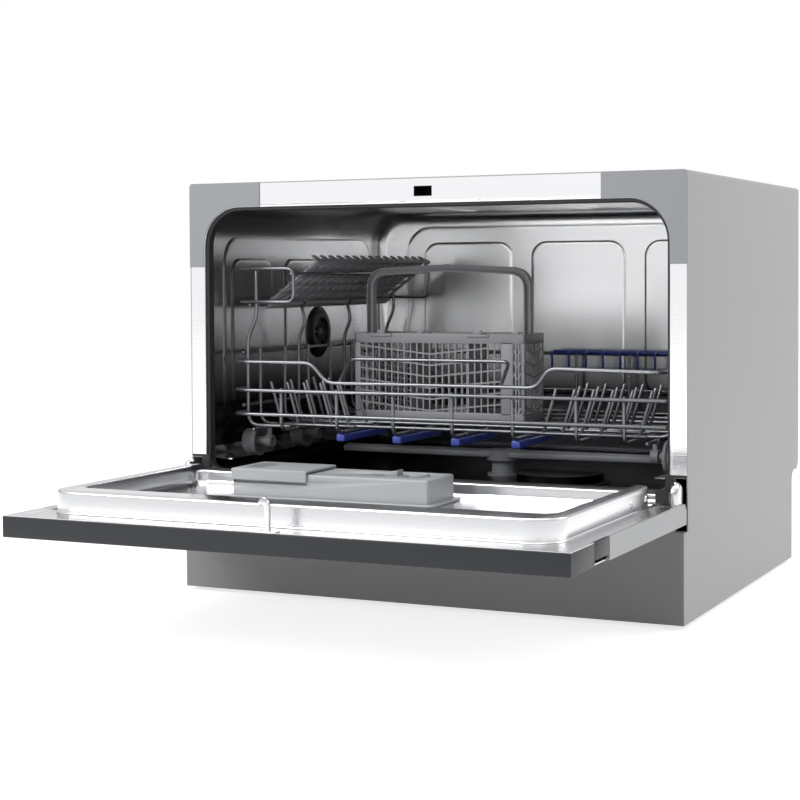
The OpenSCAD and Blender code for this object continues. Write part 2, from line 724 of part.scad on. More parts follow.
module dispenser_body() color([0.62, 0.63, 0.65]) placed() {
    x = [dispenser_x, dispenser_x + dispenser_l];
    y = [-dispenser_y, dispenser_w - dispenser_y];
    difference() {
        block(x, y, [dish_z, dispenser_top]);
        block([x[0] + 6, x[0] + lid_l - 6], y + [5, -6], [dish_z + 5, dispenser_top + 1]);
        rod_z(cap_r + 0.3, rinse_x, -release_y, [dispenser_top - 8, dispenser_top + 1]);
        block(around(release_x, 7.3), around(-release_y, 7.3), [dispenser_top - 8, dispenser_top + 1]);
    }
}

module detergent_lid() color([0.6, 0.61, 0.63]) placed() {
    x = [dispenser_x, dispenser_x + lid_l];
    block(x, [-dispenser_y - 3, dispenser_w - dispenser_y], [dispenser_top + 0.3, lid_top]);
    block(x, [-dispenser_y - 3, -dispenser_y - 0.5], [lid_top - 11, lid_top - 1]);
}

module rinse_aid_cap() color([0.55, 0.57, 0.6]) placed() {
    rod_z(cap_r, rinse_x, -release_y, [dispenser_top - 7.7, dispenser_top + 2]);
    block(around(rinse_x, cap_r - 1), around(-release_y, 1), [dispenser_top + 1, dispenser_top + 3]);
}

module lid_release() color([0.55, 0.57, 0.6]) placed() translate([release_x, -release_y, dispenser_top])
    along_y([-7, 7]) polygon([[-7, -5], [7, -5], [7, 5], [-7, 1.5]]);

// ---- Rack

// The left end of a front wire, folded back against the first upright
function fold(z) = [
    [-hoop_x - 1, rack_front + upright_ys[0], z + 1], [-rack_x, rack_front + 7, z],
    [-rack_x + 14, rack_front, z]];

module rack_rings() color([0.5, 0.51, 0.52]) placed() {
    y0 = rack_front + 16;
    wire(concat(fold(top_z), [
        [-147, rack_front, top_z], [-128, rack_front, dip_z], [109, rack_front, dip_z],
        [122, rack_front, top_z - 1], [side_x - 4, rack_front, top_z - 3], [side_x, rack_front + 5, top_z - 3],
        [side_x, rack_rear, right_top_z], [-side_x, rack_rear, right_top_z]]));
    for (z = [mid_wire_z, low_z]) wire(concat(fold(z), [[rack_x, rack_front, z]]));
    wire([[side_x, y0, side_low_z], [side_x, rack_rear, side_low_z], [-side_x, rack_rear, side_low_z],
        [-side_x, y0, side_low_z]]);
    wire([[-side_x, y0, left_top_z], [-side_x, rack_rear, left_top_z], [-side_x, rack_rear, side_low_z]]);
    wire([[-113, rack_front, dip_z], [-118, rack_front + 38, top_z + 3], [66, rack_front + 38, top_z + 3],
        [70, rack_front, dip_z]]);
}

module rack_hoops() color([0.5, 0.51, 0.52]) placed() for (i = [0 : hoop_count - 1]) {
    y = rack_front + hoop_y0 + i * hoop_pitch;
    wire([
        [-hoop_x, y, left_top_z + 4], [-hoop_x, y, hoop_z + 7], [7 - hoop_x, y, hoop_z],
        [hoop_x - 7, y, hoop_z], [hoop_x, y, hoop_z + 7], [hoop_x, y, top_z + 1]]);
}

module rack_long_wires() color([0.5, 0.51, 0.52]) placed() {
    y0 = rack_front + weld;
    y1 = rack_rear - weld;
    for (x = long_xs) wire([
        [x, y0, mid_wire_z + 3], [x, y0, long_z + 6], [x, y0 + 6, long_z], [x, y1 - 6, long_z],
        [x, y1, long_z + 6], [x, y1, right_top_z + 3]]);
    for (x = [-runner_x, runner_x]) wire([[x, y0 + 4, long_z], [x, y1 - 4, long_z]]);
}

// Rows of leaning tines on a bar across the floor; lean moves each tip sideways
module tine_row(y, x0, count, lean) {
    bar_z = hoop_z;
    last = x0 + (count - 1) * tine_pitch;
    wire([[x0 - 8, y, bar_z], [last + 8, y, bar_z]]);
    for (i = [0 : count - 1]) {
        x = x0 + i * tine_pitch;
        wire([[x, y, bar_z], [x + lean, y, bar_z + tine_h]], tine_d);
    }
}

tines_x = 100;
tine_lean = 14;

module tines_right() color([0.5, 0.51, 0.52]) placed() for (i = [0 : 2])
    tine_row(rack_front + tine_rows[i], tines_x + (i % 2) * tine_pitch / 2, 6 - i % 2, tine_lean);

module tines_left() color([0.5, 0.51, 0.52]) placed() for (i = [0 : 2])
    tine_row(rack_front + tine_rows[i], -tines_x - 5.2 * tine_pitch, [5, 5, 2][i], -tine_lean);

module shelf_frame() color([0.5, 0.51, 0.52]) placed() {
    front = rack_front + upright_ys[0];
    rear = rack_front + last_upright;
    for (y = [front, rear]) wire([
        [-183, y, hoop_z], [7 - hoop_x, y, hoop_z], [-hoop_x, y, hoop_z + 7], [-hoop_x, y, pivot_z - 36],
        [-hoop_x + 11, y, pivot_z - 14], [-hoop_x + 11, y, loop_top]]);
    for (i = [1, 2]) {
        y = rack_front + upright_ys[i];
        wire([
            [-183, y, hoop_z], [7 - hoop_x, y, hoop_z], [-hoop_x, y, hoop_z + 7], [-hoop_x, y, pivot_z - 40],
            [-hoop_x + 9, y, pivot_z - 22], [pivot_x, y, pivot_z - 2]]);
    }
    for (y = [front - weld, rear + weld]) wire([
        [-rack_x + 2, y, loop_top], [loop_x - 6, y, loop_top], [loop_x, y, loop_top - 5],
        [loop_x, y, pivot_z + 9], [loop_x - 6, y, pivot_z + 3.5], [-rack_x + 2, y, pivot_z + 3.5]]);
    wire([[pivot_x, front - weld, pivot_z], [pivot_x, rear + weld, pivot_z]]);
    wire([[rest_x, front - weld, rest_z], [rest_x, rear + weld, rest_z]]);
}

// The shelf turns about the outer rod; its knuckles leave room for the uprights between them
module cup_shelf() color([0.62, 0.63, 0.64]) placed() {
    knuckle_r = 5;
    y0 = rack_front + shelf_y0;
    uprights = [y0 - 6, for (i = [1, 2]) rack_front + upright_ys[i], y0 + shelf_l + 6];
    knuckles = [for (i = [0 : 2]) if (y0 + shelf_l > uprights[i] + 12)
        [uprights[i] + 6, min(uprights[i + 1], y0 + shelf_l + 6) - 6]];
    difference() {
        translate([pivot_x, 0, pivot_z]) rotate([0, -shelf_tilt, 0]) {
            block([7.5, shelf_w], [y0, y0 + shelf_l], [-shelf_t / 2, shelf_t / 2]);
            for (k = knuckles) block([0, 8], k, [-shelf_t / 2, shelf_t / 2]);
            for (k = knuckles) rod_y(knuckle_r, 0, k, 0);
            for (x = [14 : 14 : shelf_w - 4])
                block([x - 0.8, x + 0.8], [y0, y0 + shelf_l], [0, 6]);
        }
        rod_y(wire_d / 2 + 0.3, pivot_x, [y0 - 1, y0 + shelf_l + 1], pivot_z);
        translate([pivot_x, 0, pivot_z]) rotate([0, -shelf_tilt, 0])
            for (y = [y0 + 12 : 20 : y0 + shelf_l - 14], x = [18 : 14 : shelf_w - 12])
                block([x, x + 7], [y, y + 10], [-shelf_t, shelf_t]);
    }
}

comb_x = [-15, 205];

module comb_holder() color([0.12, 0.2, 0.55]) placed() {
    back = rack_rear - wire_d / 2 + 0.3;
    z = [right_top_z - 22, right_top_z + 5];
    block(comb_x, [back - 5, back], [z[1] - 6, z[1]]);
    block(comb_x, [back - 5, back], [z[0], z[0] + 4]);
    for (x = [comb_x[0] : (comb_x[1] - comb_x[0] - 3) / 10 : comb_x[1] - 2]) difference() {
        block([x, x + 3], [back - 18, back - 1], z);
        block([x - 1, x + 4], [back - 15, back - 5], z + [4, -6]);
    }
}

module floor_supports() color([0.12, 0.2, 0.55]) placed() for (x = [for (i = [1 : 4]) long_xs[i]])
    block([x - 5, x + 5], [rack_front + 12, rack_front + 12 + support_l],
        [long_z - wire_d / 2 - 8, long_z - wire_d / 2 + 0.2]);

function wheel_y(i) = rack_front + wheel_y0 + i * wheel_pitch;

module wheel_clips() color([0.45, 0.46, 0.48]) placed() both() for (i = [0 : wheel_count - 1]) {
    y = wheel_y(i);
    block([runner_x - 8, runner_x + 2], [y - 6, y + 6], [axle_z - 5, long_z - wire_d / 2 + 0.3]);
    rod_x(axle_r, [runner_x, wheel_x + 2], y, axle_z);
}

module wheel_pair(i) color([0.5, 0.51, 0.53]) placed() both() difference() {
    y = wheel_y(i);
    union() {
        rod_x(wheel_r * 0.37, [runner_x + 3, wheel_x - 3], y, axle_z);
        rod_x(wheel_r, [wheel_x - 3.5, wheel_x + 14], y, axle_z);
    }
    rod_x(axle_r + fit, [runner_x, wheel_x + 2.3], y, axle_z);
}

// ---- Cutlery basket

module cutlery_basket() color([0.58, 0.59, 0.6]) placed() {
    x = [basket_x, basket_x + basket_l];
    y = past(rack_front + basket_y, [0, basket_w]);
    z = [basket_z, basket_z + basket_h];
    cell = (basket_l - basket_t) / 3;
    mid = (y[0] + y[1]) / 2;
    difference() {
        block(x, y, z);
        for (i = [0 : 2])
            block(past(x[0] + i * cell, [basket_t, cell]), y + [basket_t, -basket_t],
                [z[0] + basket_t, z[1] + 1]);
        for (sx = [x[0] + 14 : 12 : x[1] - 18], wall = y)
            block([sx, sx + 6], around(wall, basket_t + 0.5), [z[0] + 12, z[1] - 14]);
    }
    difference() {
        along_y([mid - 5, mid + 5]) difference() {
            polygon(round_rect([x[0] + 3, x[1] - 3], [z[1] - 30, z[1] + handle_h], 24));
            polygon(round_rect([x[0] + 11, x[1] - 11], [z[1] - 22, z[1] + handle_h - 8], 16));
        }
        block([x[0], x[1]], [mid - 6, mid + 6], [z[1] - 31, z[1] - 6]);
    }
    for (sx = [x[0] + basket_t - 0.5, x[1] - 12])
        block([sx, sx + 10.5], [mid - 5, mid + 5], [z[1] - 20, z[1] - 5.5]);
}

module button_power() button(0);

module button_program() button(1);

module button_delay() button(2);

module button_start() button(3);

module wheels_1() wheel_pair(0);

module wheels_2() wheel_pair(1);

module wheels_3() wheel_pair(2);

module wheels_4() wheel_pair(3);

// ---- Output

outer_wrap();
rear_panel();
front_plinth();
base_tray();
rubber_feet();
tub();
tub_frame();
corner_cap_left();
corner_cap_right();
door_gasket();
rack_rails();
sump();
filter_plate();
spray_post();
wash_pump();
drain_pump();
water_heater();
inlet_valve();
drain_port();
power_board();
cord_gland();
breather();
latch_catch();
hinge_brackets();
hinge_pins();
panel_screws();
door_liner();
door_outer_panel();
door_side_strips();
control_panel();
display_window();
control_board();
latch_hook();
hinge_arms();
rim_screws();
dispenser_body();
detergent_lid();
rinse_aid_cap();
lid_release();
button_power();
button_program();
button_delay();
button_start();
spray_arm();
filter_cup();
rack_rings();
rack_hoops();
rack_long_wires();
tines_left();
tines_right();
shelf_frame();
comb_holder();
floor_supports();
wheel_clips();
wheels_1();
wheels_2();
wheels_3();
wheels_4();
cup_shelf();
cutlery_basket();
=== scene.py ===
"""A countertop dishwasher, its door down: looks for every piece, in the order the machine is put together."""

from math import cos, hypot, pi, radians, sin

import bmesh
import bpy
from mathutils import Matrix, Vector


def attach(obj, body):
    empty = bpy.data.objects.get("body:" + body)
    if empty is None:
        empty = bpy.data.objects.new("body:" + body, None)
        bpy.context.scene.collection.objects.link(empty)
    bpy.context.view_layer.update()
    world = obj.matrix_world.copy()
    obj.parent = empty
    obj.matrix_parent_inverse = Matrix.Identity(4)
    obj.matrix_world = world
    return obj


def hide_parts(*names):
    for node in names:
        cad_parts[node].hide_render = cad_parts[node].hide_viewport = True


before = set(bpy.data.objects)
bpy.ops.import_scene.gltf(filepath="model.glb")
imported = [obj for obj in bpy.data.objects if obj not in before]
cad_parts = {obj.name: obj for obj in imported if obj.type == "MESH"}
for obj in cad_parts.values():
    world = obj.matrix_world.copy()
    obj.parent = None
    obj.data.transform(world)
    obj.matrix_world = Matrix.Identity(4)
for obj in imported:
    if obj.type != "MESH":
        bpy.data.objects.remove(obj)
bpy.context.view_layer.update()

# ---- The view: a long lens at the height of the rack, a little to the machine's right.
# A white room with three soft lamps, so that steel shows bright walls and dark edges.
lens = bpy.data.cameras.new("view")
lens.lens = 81.8
lens.sensor_width = 36
lens.shift_x = 0.062
lens.shift_y = -0.0888
camera = bpy.data.objects.new("view", lens)
camera.location = (0.7476, -1.7639, 0.3428)
camera.rotation_euler = (radians(88.183), radians(0.336), radians(26.117))
bpy.context.scene.collection.objects.link(camera)
bpy.context.scene.camera = camera
bpy.context.scene.view_settings.view_transform = "Standard"


def lamp(name, place, aim, size, watts):
    """A soft rectangular lamp that points at a place."""
    light = bpy.data.lights.new(name, "AREA")
    light.shape = "RECTANGLE"
    light.size, light.size_y = size
    light.energy = watts
    holder = bpy.data.objects.new(name, light)
    holder.location = place
    holder.rotation_euler = (Vector(aim) - Vector(place)).to_track_quat("-Z", "Y").to_euler()
    bpy.context.scene.collection.objects.link(holder)


lamp("key", (-1.2, -1.9, 1.7), (0, 0, 0.2), (1.6, 1.2), 44)
lamp("fill", (1.35, 0.75, 1.15), (0.2, 0.15, 0.35), (0.8, 0.8), 11)
lamp("top", (0, -0.2, 2.2), (0, 0, 0.2), (1.8, 1.4), 16)


def link(start, end):
    """Joins two sockets of one node tree."""
    start.id_data.links.new(start, end)


def set_stops(ramp, stops):
    """Gives a colour ramp its stops in order, each a position and a colour."""
    elements = ramp.color_ramp.elements
    for element, (place, color) in zip(elements, (stops[0], stops[-1])):
        element.position, element.color = place, (*color, 1)
    for place, color in stops[1:-1]:
        elements.new(place).color = (*color, 1)


world = bpy.data.worlds.new("room")
bpy.context.scene.world = world
world.use_nodes = True
nodes = world.node_tree.nodes
backdrop = nodes["Background"]
ambient, mirrored = (nodes.new("ShaderNodeBackground") for _ in range(2))
for shown, color, strength in ((backdrop, (1, 1, 1, 1), 1), (ambient, (0.95, 0.97, 1, 1), 0.42),
                               (mirrored, (1, 1, 1, 1), 1.15)):
    shown.inputs["Color"].default_value = color
    shown.inputs["Strength"].default_value = strength
# What steel mirrors: a white room, with a darker band of wall a little above the horizon
room_side, up, walls, path = (nodes.new("ShaderNode" + kind)
                              for kind in ("TexCoord", "SeparateXYZ", "ValToRGB", "LightPath"))
link(room_side.outputs["Generated"], up.inputs[0])
set_stops(walls, [(0, (0.85, 0.85, 0.86)), (0.13, (0.98, 0.98, 0.9996)), (0.19, (0.35, 0.35, 0.357)),
                  (0.26, (0.3, 0.3, 0.306)), (0.38, (0.75, 0.75, 0.765)), (0.62, (1, 1, 1))])
link(up.outputs["Z"], walls.inputs[0])
link(walls.outputs[0], mirrored.inputs["Color"])
by_eye, by_gloss = (nodes.new("ShaderNodeMixShader") for _ in range(2))
for mix, ray, without, with_it in ((by_gloss, "Is Glossy Ray", ambient, mirrored),
                                   (by_eye, "Is Camera Ray", by_gloss, backdrop)):
    for start, end in zip((path.outputs[ray], without.outputs[0], with_it.outputs[0]), mix.inputs):
        link(start, end)
link(by_eye.outputs[0], nodes["World Output"].inputs["Surface"])


# ---- Cabinet: folded sheet steel, painted light grey inside and out, screwed to a plastic base.
# Its paint has a fine orange peel; the plinth below the door is a darker grey.
def group(name, inputs, outputs):
    """A new node group with float or colour inputs, and its two end nodes."""
    tree = bpy.data.node_groups.new(name, "ShaderNodeTree")
    for label, value in inputs.items():
        kind = "NodeSocketColor" if isinstance(value, tuple) else "NodeSocketFloat"
        tree.interface.new_socket(label, in_out="INPUT", socket_type=kind).default_value = value
    for label, kind in outputs.items():
        tree.interface.new_socket(label, in_out="OUTPUT", socket_type=kind)
    return tree, tree.nodes.new("NodeGroupInput"), tree.nodes.new("NodeGroupOutput")


# Slow drift of a colour and of its gloss over the surface
drift, drift_in, drift_out = group(
    "drift", {"Color": (0.5, 0.5, 0.5, 1), "Scale": 6.0, "Amount": 0.1, "Roughness": 0.4, "Spread": 0.1},
    {"Color": "NodeSocketColor", "Roughness": "NodeSocketFloat"})
place = drift.nodes.new("ShaderNodeTexCoord")
cloud = drift.nodes.new("ShaderNodeTexNoise")
cloud.inputs["Detail"].default_value = 5
link(place.outputs["Object"], cloud.inputs["Vector"])
link(drift_in.outputs["Scale"], cloud.inputs["Scale"])
centred = drift.nodes.new("ShaderNodeMath")
centred.operation = "SUBTRACT"
centred.inputs[1].default_value = 0.5
link(cloud.outputs["Fac"], centred.inputs[0])
tone = drift.nodes.new("ShaderNodeMath")
tone.operation = "MULTIPLY_ADD"
tone.inputs[2].default_value = 1
link(centred.outputs[0], tone.inputs[0])
link(drift_in.outputs["Amount"], tone.inputs[1])
shade = drift.nodes.new("ShaderNodeVectorMath")
shade.operation = "SCALE"
link(drift_in.outputs["Color"], shade.inputs[0])
link(tone.outputs[0], shade.inputs["Scale"])
gloss = drift.nodes.new("ShaderNodeMath")
gloss.operation = "MULTIPLY_ADD"
link(centred.outputs[0], gloss.inputs[0])
link(drift_in.outputs["Spread"], gloss.inputs[1])
link(drift_in.outputs["Roughness"], gloss.inputs[2])
link(shade.outputs[0], drift_out.inputs["Color"])
link(gloss.outputs[0], drift_out.inputs["Roughness"])

# A fine relief: stretched along one axis it is brushed metal, and unstretched it is orange peel or moulded grain
relief, relief_in, relief_out = group(
    "relief", {"X": 300.0, "Y": 300.0, "Z": 300.0, "Detail": 3.0}, {"Height": "NodeSocketFloat"})
place = relief.nodes.new("ShaderNodeTexCoord")
stretch = relief.nodes.new("ShaderNodeCombineXYZ")
for axis in "XYZ":
    link(relief_in.outputs[axis], stretch.inputs[axis])
scaled = relief.nodes.new("ShaderNodeVectorMath")
scaled.operation = "MULTIPLY"
link(place.outputs["Object"], scaled.inputs[0])
link(stretch.outputs[0], scaled.inputs[1])
grit = relief.nodes.new("ShaderNodeTexNoise")
grit.inputs["Scale"].default_value = 1
link(scaled.outputs[0], grit.inputs["Vector"])
link(relief_in.outputs["Detail"], grit.inputs["Detail"])
link(grit.outputs["Fac"], relief_out.inputs["Height"])


def finish(name, color, roughness, metallic=0.0, grain=(300, 300, 300), depth=0.05, drift_by=(0.06, 0.08), coat=0.0,
           spread=5.0):
    """A material whose colour and gloss drift slowly, over a fine relief of its own scale."""
    material = bpy.data.materials.new(name)
    material.use_nodes = True
    tree = material.node_tree
    shader = tree.nodes["Principled BSDF"]
    shader.inputs["Metallic"].default_value = metallic
    shader.inputs["Coat Weight"].default_value = coat
    shader.inputs["Coat Roughness"].default_value = 0.1
    patch = tree.nodes.new("ShaderNodeGroup")
    patch.node_tree = drift
    patch.inputs["Color"].default_value = (*color, 1)
    patch.inputs["Scale"].default_value = spread
    patch.inputs["Amount"].default_value = drift_by[0]
    patch.inputs["Spread"].default_value = drift_by[1]
    patch.inputs["Roughness"].default_value = roughness
    link(patch.outputs["Color"], shader.inputs["Base Color"])
    link(patch.outputs["Roughness"], shader.inputs["Roughness"])
    fine = tree.nodes.new("ShaderNodeGroup")
    fine.node_tree = relief
    for axis, value in zip("XYZ", grain):
        fine.inputs[axis].default_value = value
    bump = tree.nodes.new("ShaderNodeBump")
    bump.inputs["Strength"].default_value = depth
    bump.inputs["Distance"].default_value = 0.0005
    link(fine.outputs["Height"], bump.inputs["Height"])
    link(bump.outputs["Normal"], shader.inputs["Normal"])
    return material


def dress(material, *names):
    """Gives CAD nodes that keep their own mesh a finish."""
    for name in names:
        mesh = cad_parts[name].data
        mesh.materials.clear()
        mesh.materials.append(material)


ORANGE_PEEL = (700, 700, 700)
wrap_paint = finish("wrap_paint", (0.4, 0.4, 0.402), 0.45, grain=ORANGE_PEEL, depth=0.12, drift_by=(0.03, 0.06))
plinth_paint = finish("plinth_paint", (0.25, 0.25, 0.252), 0.42, grain=ORANGE_PEEL, depth=0.1, drift_by=(0.05, 0.06))
plain_sheet = finish("plain_sheet", (0.52, 0.53, 0.54), 0.36, 0.9, grain=(60, 60, 60), drift_by=(0.12, 0.15),
                     spread=14)
dark_sheet = finish("dark_sheet", (0.05, 0.05, 0.052), 0.5, 0.4, depth=0.08)
bright_screw = finish("bright_screw", (0.62, 0.62, 0.63), 0.25, 1.0, grain=(900, 900, 900), depth=0.1)
dress(wrap_paint, "outer_wrap")
dress(plinth_paint, "front_plinth")
dress(plain_sheet, "rear_panel", "hinge_pins")
dress(dark_sheet, "hinge_brackets")
dress(bright_screw, "panel_screws")

# ---- Base, feet and what stands in it: black and white mouldings, hidden once the wrap is on.
# The pumps, the heater and the valve push into the tray's floor.
base_plastic = finish("base_plastic", (0.02, 0.02, 0.022), 0.55, grain=(500, 500, 500), depth=0.25)
foot_rubber = finish("foot_rubber", (0.018, 0.018, 0.018), 0.8, grain=(400, 400, 400), depth=0.4)
white_plastic = finish("white_plastic", (0.62, 0.62, 0.6), 0.4, depth=0.1)
circuit_board = finish("circuit_board", (0.01, 0.11, 0.04), 0.35, grain=(900, 60, 900), depth=0.3, drift_by=(0.3, 0.1),
                       spread=90)
dress(base_plastic, "base_tray", "wash_pump", "cord_gland", "drain_port", "latch_catch", "sump")
dress(foot_rubber, "rubber_feet")
dress(white_plastic, "drain_pump", "inlet_valve", "water_heater")
dress(circuit_board, "power_board", "control_board")

# ---- Tub: one deep-drawn box of bright stainless sheet, with pressed panels that stiffen its walls.
# Its long corners are wide, its rear edges narrower, and holes for the sump and the arm's post pierce its floor.
FRONT = 72.25


def at(x, y, z):
    """A point given in millimetres, with y counted back from the machine's front frame."""
    return Vector((x, y - FRONT, z)) / 1000


def finished(name, bm, material, body=None, node=None, angle=35, weld=True):
    """Turns a bmesh into a piece that rides on a body and may stand for a CAD node."""
    if weld:
        bmesh.ops.remove_doubles(bm, verts=bm.verts, dist=0.000002)
    mesh = bpy.data.meshes.new(name)
    bm.to_mesh(mesh)
    bm.free()
    mesh.materials.append(material)
    mesh.polygons.foreach_set("use_smooth", [True] * len(mesh.polygons))
    mesh.set_sharp_from_angle(angle=radians(angle))
    piece = bpy.data.objects.new(name, mesh)
    bpy.context.scene.collection.objects.link(piece)
    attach(piece, body)
    if node:
        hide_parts(*([node] if isinstance(node, str) else node))
    return piece


def add_mesh(bm, part, matrix=Matrix.Identity(4)):
    """Puts a finished part into a bigger mesh, placed by a matrix."""
    bmesh.ops.transform(part, matrix=matrix, verts=part.verts)
    mesh = bpy.data.meshes.new("part")
    part.to_mesh(mesh)
    part.free()
    bm.from_mesh(mesh)
    bpy.data.meshes.remove(mesh)


def block(size, middle=(0, 0, 0)):
    """A new block with a size and a middle in millimetres."""
    part = bmesh.new()
    bmesh.ops.create_cube(part, size=1)
    bmesh.ops.scale(part, vec=Vector(size) / 1000, verts=part.verts)
    bmesh.ops.translate(part, vec=Vector(middle) / 1000, verts=part.verts)
    return part


def soften(bm, edges, radius, steps):
    """Rounds some edges by a radius in millimetres."""
    bmesh.ops.bevel(bm, geom=edges, offset=radius / 1000, segments=steps, profile=0.5, affect="EDGES", material=-1)


# How a shape made along Z is turned to face each way
FACING = {"X": Matrix.Rotation(pi / 2, 4, "Y"), "-X": Matrix.Rotation(-pi / 2, 4, "Y"),
          "Y": Matrix.Rotation(-pi / 2, 4, "X"), "-Y": Matrix.Rotation(pi / 2, 4, "X"),
          "Z": Matrix.Identity(4), "-Z": Matrix.Rotation(pi, 4, "X")}
OUTWARD = {-1: "-X", 1: "X"}


def turned(bm, outline, place, axis="Z", steps=48):
    """A turned part: its outline of (radius, height) pairs spun round an axis at a place."""
    part = bmesh.new()
    verts = [part.verts.new((r / 1000, 0, h / 1000)) for r, h in outline]
    edges = [part.edges.new(pair) for pair in zip(verts, verts[1:])]
    bmesh.ops.spin(part, geom=verts + edges, cent=(0, 0, 0), axis=(0, 0, 1), angle=2 * pi, steps=steps, use_merge=True)
    bmesh.ops.remove_doubles(part, verts=part.verts, dist=0.000002)
    bmesh.ops.recalc_face_normals(part, faces=part.faces)
    add_mesh(bm, part, Matrix.Translation(at(*place)) @ FACING[axis])


def pressed_panel(bm, width, height, corner, place, facing, rise=1.4):
    """A raised panel with rounded corners and a rolled edge, laid on a wall."""
    part = bmesh.new()
    made = bmesh.ops.create_grid(part, x_segments=1, y_segments=1, size=0.5)
    bmesh.ops.scale(part, vec=(width / 1000, height / 1000, 1), verts=made["verts"])
    bmesh.ops.bevel(part, geom=made["verts"], offset=corner / 1000, segments=8, profile=0.5, affect="VERTICES",
                    material=-1)
    face = [face for face in part.faces if len(face.verts) > 4][-1]
    for inset, lift in ((0.001, 0.2), (rise * 0.5, rise * 0.25), (rise * 0.6, rise * 0.4), (rise * 0.9, rise * 0.3),
                        (rise * 1.4, 0.05)):
        bmesh.ops.inset_region(part, faces=[face], thickness=inset / 1000, depth=lift / 1000, use_even_offset=True,
                               use_boundary=True)
    add_mesh(bm, part, Matrix.Translation(at(*place)) @ FACING[facing])


def cut(piece, part, solver="EXACT"):
    """Takes a part's shape out of a finished piece."""
    mesh = bpy.data.meshes.new("cutter")
    part.to_mesh(mesh)
    part.free()
    cutter = bpy.data.objects.new("cutter", mesh)
    bpy.context.scene.collection.objects.link(cutter)
    taken = piece.modifiers.new("cut", "BOOLEAN")
    taken.operation, taken.object, taken.solver = "DIFFERENCE", cutter, solver
    bpy.context.view_layer.objects.active = piece
    bpy.ops.object.modifier_apply(modifier=taken.name)
    bpy.data.objects.remove(cutter)


def drill(piece, radius, place, depth, steps=32, solver="EXACT"):
    """Cuts an upright round hole, half its depth above a place and half below."""
    part = bmesh.new()
    bmesh.ops.create_cone(part, cap_ends=True, segments=steps, radius1=radius / 1000, radius2=radius / 1000,
                          depth=depth / 1000, matrix=Matrix.Translation(at(*place)))
    cut(piece, part, solver)


steel = finish("bright_steel", (0.8, 0.805, 0.81), 0.13, 1.0, grain=(14, 900, 14), depth=0.06, drift_by=(0.06, 0.12),
               spread=3)
tub_steel = finish("tub_steel", (0.9, 0.905, 0.91), 0.24, 1.0, grain=(14, 900, 14), depth=0.06, drift_by=(0.05, 0.1),
                   spread=3)
# Painted shade: the tub's colour darkens towards the floor and towards the door, standing in for the shade that the
# rack and the door cast in it
tree = tub_steel.node_tree
spot, parts, shade_by_height, shade_by_depth, painted_shade = (tree.nodes.new("ShaderNode" + kind) for kind in (
    "TexCoord", "SeparateXYZ", "ValToRGB", "ValToRGB", "VectorMath"))
set_stops(shade_by_height, [(0.14, (0.05, 0.052, 0.056)), (0.195, (0.16, 0.163, 0.17)), (0.25, (0.9, 0.905, 0.91))])
set_stops(shade_by_depth, [(0, (0.5, 0.5, 0.5)), (0.2, (0.85, 0.85, 0.85)), (0.36, (1, 1, 1))])
painted_shade.operation = "MULTIPLY"
patch = next(node for node in tree.nodes if node.type == "GROUP" and node.node_tree == drift)
for start, end in ((spot.outputs["Object"], parts.inputs[0]), (parts.outputs["Z"], shade_by_height.inputs[0]),
                   (parts.outputs["Y"], shade_by_depth.inputs[0]), (shade_by_height.outputs[0], painted_shade.inputs[0]),
                   (shade_by_depth.outputs[0], painted_shade.inputs[1]), (painted_shade.outputs[0], patch.inputs["Color"])):
    link(start, end)
tub_x, tub_low, tub_high, tub_near, tub_far = 262, 112, 416.5, 2.2, 450
sump_x, sump_y, sump_r = 80, 186.1, 47.8
post_y, post_r = 226.1, 13.9
# How far the small panels lie off a wall, on the large one
panel_step = 2.2
tub = block((2 * tub_x, tub_far - tub_near, tub_high - tub_low),
            1000 * at(0, (tub_near + tub_far) / 2, (tub_low + tub_high) / 2))
long_edges = [edge for edge in tub.edges if abs((edge.verts[0].co - edge.verts[1].co).y) > 0.1]
for edges, corner in (([e for e in long_edges if e.verts[0].co.z > 0.2], 42),
                      ([e for e in long_edges if e.verts[0].co.z < 0.2], 20)):
    soften(tub, edges, corner, 12)
bmesh.ops.delete(tub, geom=[face for face in tub.faces if face.normal.y < -0.9], context="FACES_ONLY")
rear = max(tub.faces, key=lambda face: face.calc_center_median().y)
soften(tub, list(rear.edges), 16, 6)
bmesh.ops.reverse_faces(tub, faces=tub.faces)
for side in (-1, 1):
    inward = OUTWARD[-side]
    pressed_panel(tub, 220, 380, 34, (side * tub_x, 238, 274), inward, 1.6)
    pressed_panel(tub, 176, 94, 18, (side * (tub_x - panel_step), 110, 270), inward)
    pressed_panel(tub, 176, 210, 18, (side * (tub_x - panel_step), 292, 270), inward)
pressed_panel(tub, 442, 236, 34, (0, tub_far, 282), "-Y", 1.6)
for x in (-134.5, 11.5, 157.5):
    pressed_panel(tub, 122, 190, 20, (x, tub_far - panel_step, 284), "-Y")
for x in (-150, 0, 150):
    pressed_panel(tub, 110, 330, 20, (x, 232, tub_high), "-Z")
shell = finished("tub_shell", tub, tub_steel, "cabinet", "tub")
for radius, x, y in ((sump_r, sump_x, sump_y), (post_r, 0, post_y)):
    drill(shell, radius, (x, y, tub_low), 20, 48, "FAST")

# ---- Front frame: a stainless ring welded to the tub, its opening rolled inwards over a small radius.
# Grey caps close its upper corners, a gasket lines the opening, and rubber plates surround the hinges.
# Fine scratches drawn out along X
BRUSHED = (14, 900, 900)
frame_steel = finish("frame_steel", (0.88, 0.885, 0.89), 0.1, 1.0, grain=BRUSHED, depth=0.05,
                     drift_by=(0.04, 0.1), spread=3)
dress(frame_steel, "tub_frame")
MOULDED = {"grain": (420, 420, 420), "depth": 0.14}
cap_plastic = finish("cap_plastic", (0.32, 0.327, 0.34), 0.42, **MOULDED, drift_by=(0.03, 0.05))
dress(cap_plastic, "corner_cap_left", "corner_cap_right")
open_x, open_low, open_high, open_r, low_r = 257.5, 126.5, 412, 42, 15


